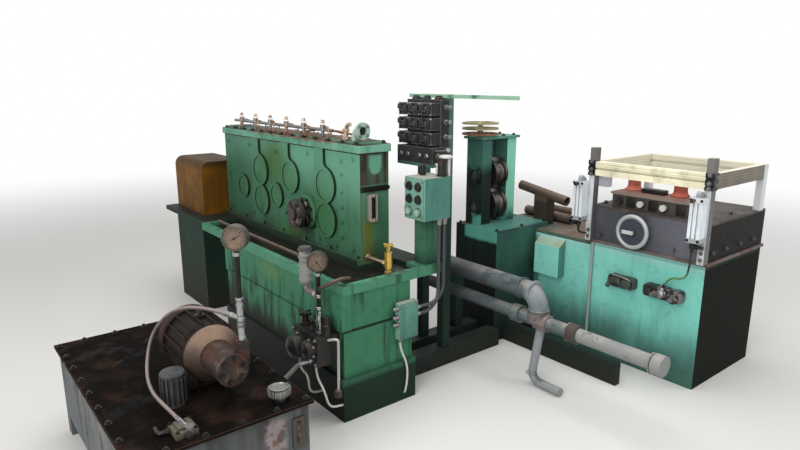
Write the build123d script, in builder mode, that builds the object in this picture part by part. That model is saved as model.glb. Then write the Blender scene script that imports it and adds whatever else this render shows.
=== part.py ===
from build123d import *
from math import radians, tan
import os

# A section of a tube mill: a pinion stand on its drive base, a roll stand on the bed, and a roll head station
# with its guard frame, joined by coolant pipes and fed by a hydraulic power unit.
# Millimetres. +X runs along the mill, -Y is the working side and +Z is up.
# The origin is on the floor, under the middle of the drive base.
os.makedirs("parts", exist_ok=True)

# Drive base
base_length, base_depth, base_height = 1270.0, 400.0, 438.0
plinth_height, plinth_step = 207.0, 14.0
bed_box_height, bed_box_inset = 174.0, 6.0
plate_thickness, plate_depth, plate_left = 45.0, 600.0, -1010.0
trough_depth, lip_width = 22.0, 34.0
corner_post_width, corner_post_proud = 90.0, 10.0
base_left, base_right = -base_length / 2, base_length / 2
base_front, base_back = -base_depth / 2, base_depth / 2
bed_box_top = base_height + bed_box_height
plate_top = bed_box_top + plate_thickness
plate_back = base_front + plate_depth

# Gearbox: a pinion stand with bearing covers on both long faces
box_length, box_depth, box_height, box_right, box_front = 1580.0, 182.0, 555.0, 400.0, 63.0
case_round = 8.0
foot_height, foot_proud = 28.0, 18.0
lid_height, lid_proud, lid_round = 38.0, 12.0, 6.0
crown_height, crown_inset = 14.0, 26.0
box_left, box_back = box_right - box_length, box_front + box_depth
box_top = plate_top + box_height
lid_top = box_top + lid_height
crown_top = lid_top + crown_height
column_pitch, last_column_x = 372.5, 100.0
column_x = [last_column_x - step * column_pitch for step in range(3)]
upper_row_height, lower_row_height = 365.0, 180.0
upper_row_z, lower_row_z = plate_top + upper_row_height, plate_top + lower_row_height
cover_radius, cover_thickness, neck_width, neck_blend = 95.0, 16.0, 90.0, 34.0
small_cover_radius, small_row_height = 74.0, 235.0
outer_offset, inner_offset = 248.0, 173.5
small_covers = [(column_x[2] - outer_offset, plate_top + small_row_height),
                (column_x[1] - inner_offset, plate_top + small_row_height)]
rim_step, rim_width = 5.0, 14.0

# Side table left of the drive base, and its guard beside the gearbox
table_length, table_depth, table_thickness, table_inset = 745.0, 520.0, 30.0, 20.0
side_base_length, side_base_depth, side_base_inset, table_lip = 480.0, 340.0, 120.0, 40.0
guard_depth, guard_height, guard_round, guard_inset, guard_gap = 340.0, 363.0, 60.0, 40.0, 35.0
table_left, table_right = plate_left - table_length, plate_left
table_front = base_front + table_inset
side_base_left = table_left + side_base_inset
guard_left, guard_front = table_left + guard_inset, table_front + guard_inset * 2
guard_length = box_left - guard_gap - guard_left

# Input coupling in the middle of the working side
input_offset, input_height = 178.0, 193.0
input_x, input_z = last_column_x - input_offset, plate_top + input_height
collar_radius, collar_proud, collar_bore, collar_chamfer, collar_gap = 94.0, 34.0, 62.0, 8.0, 3.0
running_gap = 0.08
hub_flange_radius, hub_flange_thickness = 80.0, 22.0
hub_neck_radius, hub_neck_length = 50.0, 44.0
coupling_gap = 4.0
hub_bolt_circle, hub_bolt_radius, hub_bolt_count = 124.0, 6.5, 6
hub_spigot_radius, hub_spigot_length = 34.0, 20.0

# Fittings on the gearbox
sight_width, sight_height, sight_depth, sight_groove = 52.0, 140.0, 20.0, 22.0
sight_setback, sight_rise = 70.0, 283.0
sight_y, sight_z = box_front + sight_setback, plate_top + sight_rise
drip_rail_height, drip_rail_size = 385.0, 16.0
drip_rail_z = plate_top + drip_rail_height
vent_ring_radius, vent_ring_bore, vent_ring_thickness, vent_ring_depth = 42.0, 21.0, 14.0, 9.0
vent_pipe_radius, vent_height, vent_inset, vent_reach, vent_bend = 16.0, 50.0, 100.0, 60.0, 34.0
vent_x, vent_y = box_right - vent_inset, box_front + 45.0
lube_pipe_radius, lube_pipe_height, lube_valve_count, lube_pitch = 9.0, 34.0, 6, 200.0
lube_valve_radius, lube_valve_height, lube_inset = 15.0, 34.0, 60.0
lube_left, lube_y = box_left + lube_inset, box_front + lube_inset
drain_radius, drain_height, drain_length, drain_setback = 9.0, 38.0, 160.0, 37.0
drain_y, drain_z = box_front + drain_setback, plate_top + drain_height
valve_radius, valve_height, valve_foot_radius, stem_radius, stem_height = 19.0, 78.0, 14.0, 9.0, 34.0

# Operator's box on its post
post_size, post_height, post_inset, post_y = 85.0, 240.0, 73.0, 355.0
post_x = base_right - post_inset
panel_width, panel_depth, panel_height, panel_round = 150.0, 170.0, 205.0, 6.0
panel_overhang, panel_reach = 40.0, 110.0
panel_left, panel_front = post_x - panel_overhang, post_y - panel_reach
panel_low = plate_top + post_height
button_radius, button_length, button_pitch_x, button_pitch_z, button_drop = 19.0, 14.0, 66.0, 62.0, 42.0
button_rows = 3

# Beams on the floor between the stations
beam_width, beam_height = 90.0, 100.0
beam_x = [275.0, 450.0]
channel_low_y, channel_high_y, channel_height, channel_right = 1085.0, 1125.0, 120.0, 1230.0

# Hydraulic valve rack behind the gearbox, on the beams
rack_left, rack_length, rack_front, rack_depth = 222.0, 282.0, 440.0, 120.0
rack_post_size, rack_shelf_z, rack_shelf_thickness = 50.0, 1120.0, 16.0
manifold_height, manifold_inset, manifold_foot = 322.0, 8.0, 84.0
valve_rows, valve_columns = 3, 3
solenoid_depth, solenoid_height, solenoid_gap, coil_nut_radius = 62.0, 62.0, 12.0, 13.0
rail_z, rail_height, rail_thickness, rail_left, rail_right = 1466.0, 18.0, 12.0, 190.0, 955.0
rack_right, rack_back = rack_left + rack_length, rack_front + rack_depth
solenoid_pitch = (rack_length - manifold_inset * 2) / valve_columns
manifold_low = rack_shelf_z + rack_shelf_thickness

# Roll stand
stand_left, stand_length, stand_front, stand_depth, stand_height = 110.0, 340.0, 1000.0, 470.0, 690.0
stand_post_x, stand_post_width, stand_post_depth = 195.0, 132.0, 80.0
stand_gap, stand_post_height, post_setback = 136.0, 520.0, 60.0
cap_thickness, cap_proud = 14.0, 16.0
chock_radius, chock_proud = 54.0, 9.0
screw_radius, screw_height, screw_ring_height, screw_ring_gap, screw_ring_count = 17.0, 96.0, 10.0, 22.0, 3
screw_ring_radius, screw_ring_width, screw_spoke_width = 110.0, 20.0, 16.0
roll_radius, roll_width, roll_floor_gap = 95.0, 104.0, 12.0
journal_radius, tube_radius, roll_nip = 30.0, 32.0, 6.0
stand_right, stand_back = stand_left + stand_length, stand_front + stand_depth
post_front = stand_front + post_setback
stand_span = stand_post_depth * 2 + stand_gap
stand_top = stand_height + stand_post_height
lower_roll_z = stand_height + roll_floor_gap + roll_radius
upper_roll_z = lower_roll_z + roll_radius * 2 + roll_nip

# Bed section and the right-hand station
bed_front, bed_depth, bed_height, bed_top_thickness = 1356.0, 634.0, 640.0, 20.0
seam_x, cabinet_right = 864.0, 1500.0
bed_level = bed_height + bed_top_thickness
bed_case_left, bed_case_right, bed_case_depth = 495.0, 675.0, 60.0
bed_case_low, bed_case_front_top, bed_case_back_top = 405.0, 590.0, 632.0
cabinet_back = bed_front + bed_depth
conduit_radius, conduit_foot = 9.0, 110.0
head_left = 840.0
head_flange_height, head_flange_proud = 16.0, 10.0
head_height, head_deck_height = 186.0, 12.0
head_bottom = bed_level + head_flange_height
head_top = head_bottom + head_height
deck_top = head_top + head_deck_height
offcut_radius, offcut_wall, offcut_length, offcut_lift = 30.0, 3.0, 400.0, 0.1
offcut_starts = [(125.0, 1660.0), (140.0, 1812.0)]
offcut_slopes = [-0.10, -0.02]
rest_left, rest_length, rest_gap, rest_depth, rest_height = 330.0, 100.0, 2.0, 80.0, 190.0
leaning_start, leaning_way, leaning_length = (196.0, 1500.0, 888.0), (352.0, 0.0, -57.0), 372.0

# Handwheel
wheel_radius, wheel_rim_radius, wheel_hub_radius, wheel_hub_length = 93.0, 11.0, 24.0, 34.0
wheel_x, wheel_z, wheel_stand_off = 1129.0, 776.0, 60.0
wheel_web_thickness = 8.0
boss_radius, boss_length, spindle_radius, spindle_gap = 34.0, 26.0, 11.0, 4.0
grip_length, grip_width, grip_depth = 84.0, 18.0, 16.0
wheel_y = bed_front - wheel_stand_off

# Guard frame of aluminium profile
frame_bar_height, frame_bar_width, frame_top = 76.0, 40.0, 1122.0
frame_groove_width, frame_groove_depth = 10.0, 8.0
frame_post_width, frame_post_depth, frame_post_top = 34.0, 46.0, 1196.0
post_head_low, post_head_height, post_head_proud = 1044.0, 84.0, 7.0
post_notch_height, post_notch_depth = 9.0, 8.0
frame_inset_left, frame_inset_right, frame_inset_back = 29.0, 27.0, 100.0
frame_left, frame_right = head_left + frame_inset_left, cabinet_right - frame_inset_right
frame_back = cabinet_back - frame_inset_back
frame_low = frame_top - frame_bar_height
bracket_right, bracket_depth, bracket_low, bracket_height = 924.0, 44.0, 981.0, 52.0

# Clamping cylinders, saddle and blocks on the roll head
cylinder_width, cylinder_depth, cylinder_height, cylinder_z = 66.0, 62.0, 220.0, 792.0
cylinder_laps = [7.0, 30.0]
cylinder_cap, cylinder_inset, cylinder_slot, cylinder_slot_depth = 22.0, 3.0, 7.0, 6.0
eye_radius, eye_width, eye_rise = 14.0, 22.0, 16.0
saddle_length, saddle_depth, saddle_height, saddle_left, saddle_inset = 430.0, 168.0, 84.0, 940.0, 34.0
saddle_plate, saddle_plate_proud = 12.0, 8.0
knob_radius, knob_height, knob_count, knob_pitch, knob_first, knob_rise = 17.0, 24.0, 3, 128.0, 48.0, 38.0
clamp_radius, clamp_height, clamp_inset, clamp_dome = 34.0, 72.0, 128.0, 18.0
clamp_first, clamp_pitch = 50.0, 266.0
clamp_x = [saddle_left + clamp_first, saddle_left + clamp_first + clamp_pitch]
clamp_y = bed_front + saddle_inset + clamp_inset

# Sockets and junction boxes
socket_depth, socket_height, socket_z, socket_round = 46.0, 62.0, 450.0, 14.0
socket_x, socket_widths = [1001.0, 1211.0], [152.0, 207.0]
junction_proud, junction_width, junction_height = 36.0, 113.0, 183.0
junction_y, junction_z = 98.0, 332.0
box_conduit_pitch, box_conduit_low, box_conduit_bend = 34.0, 470.0, 90.0
box_conduit_x, box_conduit_y = base_right + junction_proud / 2, panel_front + panel_depth - 24.0
air_hose_diameter = 10.0
air_hose_offsets = [(-13.0, -77.0, 0.0), (-13.0, -77.0, -124.0), (-33.0, -71.0, -199.0),
                    (-123.0, -56.0, -209.0), (-151.0, -38.0, -262.0)]
air_hose_points = [(frame_right + x, bed_front + y, cylinder_z + z) for x, y, z in air_hose_offsets]
hose_tail_radius, hose_tail_length = 8.0, 32.0

# Coolant pipes
pipe_y = 770.0
main_pipe_radius, main_pipe_z = 34.0, 360.0
feed_pipe_radius, feed_pipe_z = 50.0, 505.0
pipe_left, main_right = 60.0, 1640.0
elbow_x, elbow_radius, tee_height, tee_radius = 960.0, 90.0, 48.0, 56.0
union_radius, union_length = 47.0, 46.0
union_x = [806.0, 1157.0, main_right - union_length]
branch_x, branch_lean, branch_radius, branch_z = 933.0, 52.0, 22.0, 24.0
branch_bend, branch_length = 50.0, 190.0
pipe_stand_size = 60.0

# Hydraulic power unit
tank_right, tank_back = 1010.0, -605.0
tank_length, tank_depth, tank_height, tank_leg, leg_width = 1100.0, 620.0, 312.0, 88.0, 60.0
tank_lid_thickness, tank_lid_proud = 12.0, 16.0
tank_left, tank_front = tank_right - tank_length, tank_back - tank_depth
tank_top = tank_leg + tank_height
tank_lid_top = tank_top + tank_lid_thickness
shaft_height, motor_radius, motor_length = 140.0, 108.0, 190.0
motor_y, motor_left = -835.0, 436.0
cowl_radius, cowl_length, cowl_round = 120.0, 72.0, 24.0
motor_fin_count, motor_fin_proud, motor_fin_width = 18, 8.0, 5.0
foot_plate, foot_inset = 14.0, 30.0
bell_radius, bell_throat, bell_length, bell_rim = 108.0, 66.0, 46.0, 12.0
pump_radius, pump_length = 60.0, 148.0
filler_radius, filler_neck_radius, filler_height = 40.0, 28.0, 52.0
filler_x, filler_y = 950.0, -690.0
small_motor_x, small_motor_y, small_motor_radius, small_motor_height = 735.0, -998.0, 38.0, 122.0
small_fin_count, small_fin_proud, small_fin_width, small_motor_base = 16, 6.0, 4.0, 12.0
motor_z = tank_lid_top + shaft_height
motor_right = motor_left + cowl_length + motor_length
bell_right = motor_right + bell_length
pump_right = bell_right + pump_length

# Gauges, filter and hydraulic lines
gauge_radius, gauge_depth, riser_radius = 46.0, 34.0, 10.0
pump_gauge_z, pump_gauge_setback, pump_gauge_offset = 1022.0, 37.0, 55.0
pump_gauge_x, pump_gauge_y = pump_right - pump_gauge_setback, motor_y + pump_gauge_offset
tee_block_size, tee_block_top = 38.0, 640.0
piping_gap = 80.0
piping_y = base_front - piping_gap
filter_left, filter_length, filter_low, filter_height = 380.0, 220.0, 290.0, 140.0
filter_depth = piping_gap + 40.0
filter_right, filter_high = filter_left + filter_length, filter_low + filter_height
ribbed_x, ribbed_radius, ribbed_length, ribbed_gap = 452.0, 27.0, 170.0, 220.0
ribbed_elbow_radius, ribbed_elbow_drop, ribbed_elbow_bend = 14.0, 34.0, 26.0
ribbed_low = filter_high + ribbed_gap
rib_count, rib_proud, rib_height = 5, 5.0, 8.0
line_gauge_x, line_gauge_z = 560.0, 775.0
line_x, line_z, line_turn_y, line_join_y, line_bend = 660.0, 316.0, -530.0, -395.0, 60.0
hose_diameter = 14.0
hose_points = [(830.0, -796.0, 729.5), (745.0, -850.0, 748.0),
               (600.0, -930.0, 725.0), (500.0, -990.0, 610.0), (540.0, -1034.0, 490.0),
               (700.0, -1069.0, 472.0), (850.0, -1063.0, 470.0), (940.0, -1037.0, 440.0)]


def slab(x_low, x_high, y_low, y_high, z_low, z_high, mode=Mode.ADD):
    """A block between two corners, in the part that is being built."""
    middle = ((x_low + x_high) / 2, (y_low + y_high) / 2, (z_low + z_high) / 2)
    with Locations(middle):
        Box(x_high - x_low, y_high - y_low, z_high - z_low, mode=mode)


def rod(start, direction, radius, length, mode=Mode.ADD):
    """A cylinder that starts at a point and runs along a direction."""
    with Locations(Plane(origin=start, z_dir=direction)):
        Cylinder(radius, length, align=(Align.CENTER, Align.CENTER, Align.MIN), mode=mode)


def pipe_along(points, bends, radius):
    """A round bar along straight runs joined by arcs."""
    with BuildPart() as bent:
        with BuildLine() as route:
            FilletPolyline(*points, radius=bends)
        with BuildSketch(Plane(origin=route.line @ 0, z_dir=route.line % 0)):
            Circle(radius)
        sweep()
    return bent.part


def cord_radii(points):
    """The radius of the arc at each corner of a cord's route."""
    radii = []
    for before, corner, after in zip(points, points[1:], points[2:]):
        arriving, leaving = Vector(*corner) - Vector(*before), Vector(*after) - Vector(*corner)
        half_turn = radians(arriving.get_angle(leaving)) / 2
        radii.append(0.45 * min(arriving.length, leaving.length) / tan(half_turn))
    return radii


def cord_along(points, diameter):
    """A cord along straight runs joined by tangent arcs."""
    radii = cord_radii(points)
    print("cord radii", [round(radius, 1) for radius in radii])
    start = Vector(*points[0])
    with BuildPart() as cord:
        with BuildLine() as route:
            for number, radius in enumerate(radii):
                corner = Vector(*points[number + 1])
                arriving = (corner - Vector(*points[number])).normalized()
                leaving = (Vector(*points[number + 2]) - corner).normalized()
                trim = radius * tan(radians(arriving.get_angle(leaving)) / 2)
                bend_start, bend_end = corner - arriving * trim, corner + leaving * trim
                Line(start, bend_start)
                TangentArc(bend_start, bend_end, tangent=arriving)
                start = bend_end
            Line(start, Vector(*points[-1]))
        with BuildSketch(Plane(origin=route.line @ 0, z_dir=route.line % 0)):
            Circle(diameter / 2)
        sweep()
    return cord.part


def fins(start, direction, side, radius, length, count, width, proud):
    """Straight ribs round a round body that starts at a point and runs along a direction."""
    with BuildSketch(Plane(origin=start, x_dir=side, z_dir=direction)) as section:
        with PolarLocations(radius + proud / 2, count):
            Rectangle(proud * 2, width)
    extrude(section.sketch, amount=length)


def save(part, name):
    """Label a finished piece and write its file."""
    part.label = name
    export_step(part, f"parts/{name}.step")


# Drive base
with BuildPart() as drive_base:
    slab(base_left - plinth_step, base_right + plinth_step,
         base_front - plinth_step, base_back + plinth_step, 0, plinth_height)
    slab(base_left, base_right, base_front, base_back, plinth_height, base_height)
save(drive_base.part, "drive_base")

with BuildPart() as drive_bed:
    slab(base_left + bed_box_inset, base_right - bed_box_inset, base_front + bed_box_inset,
         base_back - bed_box_inset, base_height, bed_box_top)
    for post_left in (base_left, base_right - corner_post_width):
        slab(post_left, post_left + corner_post_width, base_front - corner_post_proud,
             base_front + corner_post_width / 2, base_height, bed_box_top)
save(drive_bed.part, "drive_bed")

with BuildPart() as bed_plate:
    slab(plate_left, base_right, base_front, plate_back, bed_box_top, plate_top)
    slab(plate_left + lip_width, base_right - lip_width, base_front + lip_width,
         box_front - foot_proud, plate_top - trough_depth, plate_top + trough_depth, Mode.SUBTRACT)
    slab(box_right + foot_proud, base_right - lip_width, box_front - foot_proud - 1,
         post_y - post_size, plate_top - trough_depth, plate_top + trough_depth, Mode.SUBTRACT)
save(bed_plate.part, "bed_plate")

# Side table and the guard that stands on it
with BuildPart() as side_table:
    slab(table_left, table_right, table_front, table_front + table_depth,
         plate_top - table_thickness, plate_top)
    slab(side_base_left, side_base_left + side_base_length, table_front + table_lip,
         table_front + table_lip + side_base_depth, 0, plate_top - table_thickness)
save(side_table.part, "side_table")

with BuildPart() as side_guard:
    with BuildSketch(Plane.YZ.offset(guard_left)) as guard_profile:
        with Locations((guard_front + guard_depth / 2, plate_top + guard_height / 2)):
            Rectangle(guard_depth, guard_height)
        fillet(guard_profile.vertices().group_by(Axis.Y)[-1], guard_round)
    extrude(amount=guard_length)
save(side_guard.part, "side_guard")

# Gearbox
with BuildPart() as gearbox_case:
    slab(box_left, box_right, box_front, box_back, plate_top, box_top)
    fillet(gearbox_case.edges().filter_by(Axis.Z), case_round)
    slab(box_left - foot_proud / 2, box_right + foot_proud / 2, box_front - foot_proud,
         box_back + foot_proud, plate_top, plate_top + foot_height)
    slab(box_right, box_right + drip_rail_size, box_front + case_round, box_back - case_round,
         drip_rail_z - drip_rail_size, drip_rail_z)
save(gearbox_case.part, "gearbox_case")

with BuildPart() as gearbox_lid:
    slab(box_left - lid_proud, box_right + lid_proud, box_front - lid_proud,
         box_back + lid_proud, box_top, lid_top)
    fillet(gearbox_lid.edges().filter_by(Axis.Z), lid_round + lid_proud)
    fillet(gearbox_lid.faces().sort_by(Axis.Z)[-1].edges(), lid_round)
    slab(box_left + crown_inset, box_right - crown_inset, box_front + crown_inset,
         box_back - crown_inset, lid_top, crown_top)
save(gearbox_lid.part, "gearbox_lid")


def raised_plate(outline, fields):
    """A plate that stands out of the front face, with sunk round fields."""
    extrude(outline, amount=cover_thickness)
    with BuildSketch(front_face.offset(cover_thickness)) as sunk:
        with Locations(*fields):
            Circle(cover_radius - rim_width)
    extrude(sunk.sketch, amount=-rim_step, mode=Mode.SUBTRACT)


front_face = Plane(origin=(0, box_front, 0), x_dir=(1, 0, 0), z_dir=(0, -1, 0))
with BuildPart() as bearing_covers:
    for number, x in enumerate(column_x):
        heights = [upper_row_z] if number == 1 else [upper_row_z, lower_row_z]
        neck_left, neck_right = x - cover_radius, x - cover_radius + neck_width
        with BuildSketch(front_face) as outline:
            with Locations(*[(x, z) for z in heights]):
                Circle(cover_radius)
            with Locations(((neck_left + neck_right) / 2, (upper_row_z + box_top) / 2)):
                Rectangle(neck_width, box_top - upper_row_z)
            with Locations((x - cover_radius / 2, (heights[0] + heights[-1]) / 2)):
                Rectangle(cover_radius, heights[0] - heights[-1] + 1)
            fillet(outline.vertices().sort_by_distance((neck_right, upper_row_z + cover_radius, 0))[0],
                   neck_blend)
        raised_plate(outline.sketch, [(x, z) for z in heights])
    for place in small_covers:
        with BuildSketch(front_face) as small:
            with Locations(place):
                Circle(small_cover_radius)
        extrude(small.sketch, amount=cover_thickness)
        with BuildSketch(front_face.offset(cover_thickness)) as small_field:
            with Locations(place):
                Circle(small_cover_radius - rim_width)
        extrude(small_field.sketch, amount=-rim_step, mode=Mode.SUBTRACT)
    mirror(bearing_covers.part, about=Plane(origin=(0, (box_front + box_back) / 2, 0), z_dir=(0, 1, 0)))
    rod((input_x, box_front, input_z), (0, -1, 0), collar_radius + collar_gap, cover_thickness * 2,
        Mode.SUBTRACT)
save(bearing_covers.part, "bearing_covers")

# Input coupling, turned about an axis along Y
input_plane = Plane(origin=(input_x, box_front, input_z), x_dir=(1, 0, 0), z_dir=(0, -1, 0))
with BuildPart() as input_collar:
    with BuildSketch(input_plane):
        Circle(collar_radius)
        Circle(collar_bore, mode=Mode.SUBTRACT)
    extrude(amount=collar_proud)
    chamfer(input_collar.faces().sort_by(Axis.Y)[0].outer_wire().edges(), collar_chamfer)
save(input_collar.part, "input_collar")

with BuildPart() as input_hub:
    with BuildSketch(input_plane.offset(coupling_gap)):
        Circle(collar_bore - running_gap)
    extrude(amount=collar_proud - coupling_gap)
    with BuildSketch(input_plane.offset(collar_proud)):
        Circle(hub_neck_radius)
    extrude(amount=hub_neck_length)
    with BuildSketch(input_plane.offset(collar_proud + hub_neck_length)):
        Circle(hub_flange_radius)
    extrude(amount=hub_flange_thickness)
    with BuildSketch(input_plane.offset(collar_proud + hub_neck_length + hub_flange_thickness)):
        Circle(hub_spigot_radius)
    extrude(amount=hub_spigot_length)
    with BuildSketch(input_plane.offset(collar_proud + hub_neck_length)):
        with PolarLocations(hub_bolt_circle / 2, hub_bolt_count):
            Circle(hub_bolt_radius)
    extrude(amount=hub_flange_thickness, mode=Mode.SUBTRACT)
save(input_hub.part, "input_hub")

# Fittings on the gearbox
with BuildPart() as sight_glass:
    slab(box_right, box_right + sight_depth, sight_y - sight_width / 2, sight_y + sight_width / 2,
         sight_z - sight_height / 2, sight_z + sight_height / 2)
    fillet(sight_glass.edges().filter_by(Axis.X), sight_width / 4)
    slab(box_right + sight_depth / 2, box_right + sight_depth * 2, sight_y - sight_groove / 2,
         sight_y + sight_groove / 2, sight_z - sight_height / 3, sight_z + sight_height / 3, Mode.SUBTRACT)
save(sight_glass.part, "sight_glass")

with BuildPart() as vent_pipe:
    add(pipe_along([(vent_x, vent_y, crown_top), (vent_x, vent_y, crown_top + vent_height),
                    (vent_x + vent_reach, vent_y, crown_top + vent_height)], vent_bend, vent_pipe_radius))
    rod((vent_x + vent_reach, vent_y, crown_top + vent_height), (1, 0, 0),
        vent_ring_radius, vent_ring_thickness)
    rod((vent_x + vent_reach + vent_ring_thickness, vent_y, crown_top + vent_height), (-1, 0, 0),
        vent_ring_bore, vent_ring_depth, Mode.SUBTRACT)
save(vent_pipe.part, "vent_pipe")

with BuildPart() as lube_rail:
    rod((lube_left, lube_y, crown_top + lube_pipe_height), (1, 0, 0),
        lube_pipe_radius, lube_valve_count * lube_pitch)
    for step in range(lube_valve_count):
        lube_x = lube_left + (step + 0.5) * lube_pitch
        rod((lube_x, lube_y, crown_top), (0, 0, 1), lube_pipe_radius, lube_pipe_height)
        rod((lube_x, lube_y, crown_top + lube_pipe_height - lube_pipe_radius), (0, 0, 1),
            lube_valve_radius, lube_valve_height)
save(lube_rail.part, "lube_rail")

drain_end = box_right + drain_length
valve_x = drain_end + valve_radius
with BuildPart() as drain_valve:
    rod((valve_x, drain_y, plate_top - trough_depth), (0, 0, 1), valve_foot_radius,
        trough_depth + drain_height)
    rod((valve_x, drain_y, drain_z - valve_radius), (0, 0, 1), valve_radius, valve_height)
    rod((valve_x, drain_y, drain_z - valve_radius + valve_height), (0, 0, 1), stem_radius, stem_height)
    rod((drain_end, drain_y, drain_z), (1, 0, 0), valve_foot_radius, valve_radius)
    rod((box_right, drain_y, drain_z), (1, 0, 0), drain_radius, drain_length)
save(drain_valve.part, "drain_valve")

# Operator's box
with BuildPart() as control_post:
    slab(post_x - post_size / 2, post_x + post_size / 2, post_y - post_size / 2, post_y + post_size / 2,
         plate_top, panel_low)
save(control_post.part, "control_post")

with BuildPart() as control_box:
    slab(panel_left, panel_left + panel_width, panel_front, panel_front + panel_depth,
         panel_low, panel_low + panel_height)
    fillet(control_box.edges().filter_by(Axis.Z), panel_round)
save(control_box.part, "control_box")

with BuildPart() as push_buttons:
    for column in (-0.5, 0.5):
        for row in range(button_rows):
            rod((panel_left + panel_width / 2 + column * button_pitch_x, panel_front,
                 panel_low + panel_height - button_drop - row * button_pitch_z), (0, -1, 0),
                button_radius, button_length)
save(push_buttons.part, "push_buttons")

# Valve rack
with BuildPart() as rack_frame:
    for x in beam_x:
        slab(x - rack_post_size / 2, x + rack_post_size / 2, rack_back, rack_back + rack_post_size,
             beam_height, rail_z + rail_height)
    slab(rack_left, rack_right, rack_front, rack_back, rack_shelf_z, rack_shelf_z + rack_shelf_thickness)
    slab(rail_left, rail_right, rack_back - rail_thickness, rack_back, rail_z, rail_z + rail_height)
save(rack_frame.part, "rack_frame")

with BuildPart() as valve_manifold:
    slab(rack_left + manifold_inset, rack_right - manifold_inset, rack_front + solenoid_depth,
         rack_back, manifold_low, manifold_low + manifold_height)
    slab(rack_left, rack_right, rack_front, rack_back, manifold_low, manifold_low + manifold_foot)
save(valve_manifold.part, "valve_manifold")

with BuildPart() as solenoid_valves:
    for column in range(valve_columns):
        for row in range(valve_rows):
            low_x = rack_left + manifold_inset + solenoid_gap / 2 + column * solenoid_pitch
            low_z = manifold_low + manifold_foot + solenoid_gap + row * (solenoid_height + solenoid_gap)
            high_x = low_x + solenoid_pitch - solenoid_gap
            slab(low_x, high_x, rack_front, rack_front + solenoid_depth, low_z, low_z + solenoid_height)
            rod(((low_x + high_x) / 2, rack_front, low_z + solenoid_height / 2), (0, -1, 0),
                coil_nut_radius, solenoid_gap)
save(solenoid_valves.part, "solenoid_valves")

# Beams on the floor between the stations
with BuildPart() as floor_beams:
    for x in beam_x:
        slab(x - beam_width / 2, x + beam_width / 2, base_back + plinth_step, stand_front, 0, beam_height)
    slab(stand_right, channel_right, channel_low_y, channel_high_y, 0, channel_height)
save(floor_beams.part, "floor_beams")

# Roll stand
with BuildPart() as stand_base:
    slab(stand_left, stand_right, stand_front, stand_back, 0, stand_height)
save(stand_base.part, "stand_base")

with BuildPart() as stand_posts:
    for low_y in (post_front, post_front + stand_post_depth + stand_gap):
        slab(stand_post_x - stand_post_width / 2, stand_post_x + stand_post_width / 2,
             low_y, low_y + stand_post_depth, stand_height, stand_height + stand_post_height)
        for z in (lower_roll_z, upper_roll_z):
            rod((stand_post_x, low_y - chock_proud, z), (0, 1, 0), chock_radius,
                stand_post_depth + chock_proud * 2)
    for z in (lower_roll_z, upper_roll_z):
        rod((stand_post_x, post_front - chock_proud, z), (0, 1, 0), journal_radius + running_gap,
            stand_span + chock_proud * 2, Mode.SUBTRACT)
save(stand_posts.part, "stand_posts")

with BuildPart() as stand_cap:
    slab(stand_post_x - stand_post_width / 2 - cap_proud, stand_post_x + stand_post_width / 2 + cap_proud,
         post_front - cap_proud, post_front + stand_span + cap_proud, stand_top, stand_top + cap_thickness)
    rod((stand_post_x, post_front + stand_post_depth / 2, stand_top), (0, 0, 1), screw_radius, screw_height)
    for level in range(screw_ring_count):
        ring_z = stand_top + cap_thickness + screw_ring_gap / 2 + level * (screw_ring_height + screw_ring_gap)
        with BuildSketch(Plane(origin=(stand_post_x, post_front + stand_post_depth / 2, ring_z))) as ring:
            Circle(screw_ring_radius)
            Circle(screw_ring_radius - screw_ring_width, mode=Mode.SUBTRACT)
            for turn in (0, 90):
                Rectangle(screw_ring_radius * 2 - screw_ring_width, screw_spoke_width,
                          rotation=turn + level * 20)
        extrude(ring.sketch, amount=screw_ring_height)
save(stand_cap.part, "stand_cap")


def mill_roll(height):
    """A grooved roll with its shaft, turned about an axis along Y."""
    middle = post_front + stand_span / 2
    with BuildSketch(Plane.YZ.offset(stand_post_x)) as half:
        with Locations((middle, height + roll_radius / 2)):
            Rectangle(roll_width, roll_radius)
        with Locations((middle, height + roll_radius + roll_nip / 2)):
            Circle(tube_radius, mode=Mode.SUBTRACT)
        with Locations((middle, height + journal_radius / 2)):
            Rectangle(stand_span, journal_radius)
    revolve(half.sketch, axis=Axis((stand_post_x, 0, height), (0, 1, 0)))


with BuildPart() as lower_roll:
    mill_roll(lower_roll_z)
save(lower_roll.part, "lower_roll")

with BuildPart() as upper_roll:
    mill_roll(upper_roll_z)
save(upper_roll.part, "upper_roll")

# Bed section and the right-hand station
with BuildPart() as bed_section:
    slab(stand_right, seam_x, bed_front, cabinet_back, 0, bed_height)
    slab(stand_left, stand_right, stand_back, cabinet_back, 0, bed_height)
    with BuildSketch(Plane.YZ.offset(bed_case_left)) as case_side:
        with BuildLine():
            Polyline((bed_front, bed_case_low), (bed_front - bed_case_depth, bed_case_low),
                     (bed_front - bed_case_depth, bed_case_front_top), (bed_front, bed_case_back_top),
                     close=True)
        make_face()
    extrude(case_side.sketch, amount=bed_case_right - bed_case_left)
save(bed_section.part, "bed_section")

with BuildPart() as bed_top:
    slab(stand_right, seam_x, bed_front, cabinet_back, bed_height, bed_level)
    slab(stand_left, stand_right, stand_back, cabinet_back, bed_height, bed_level)
save(bed_top.part, "bed_top")

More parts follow.
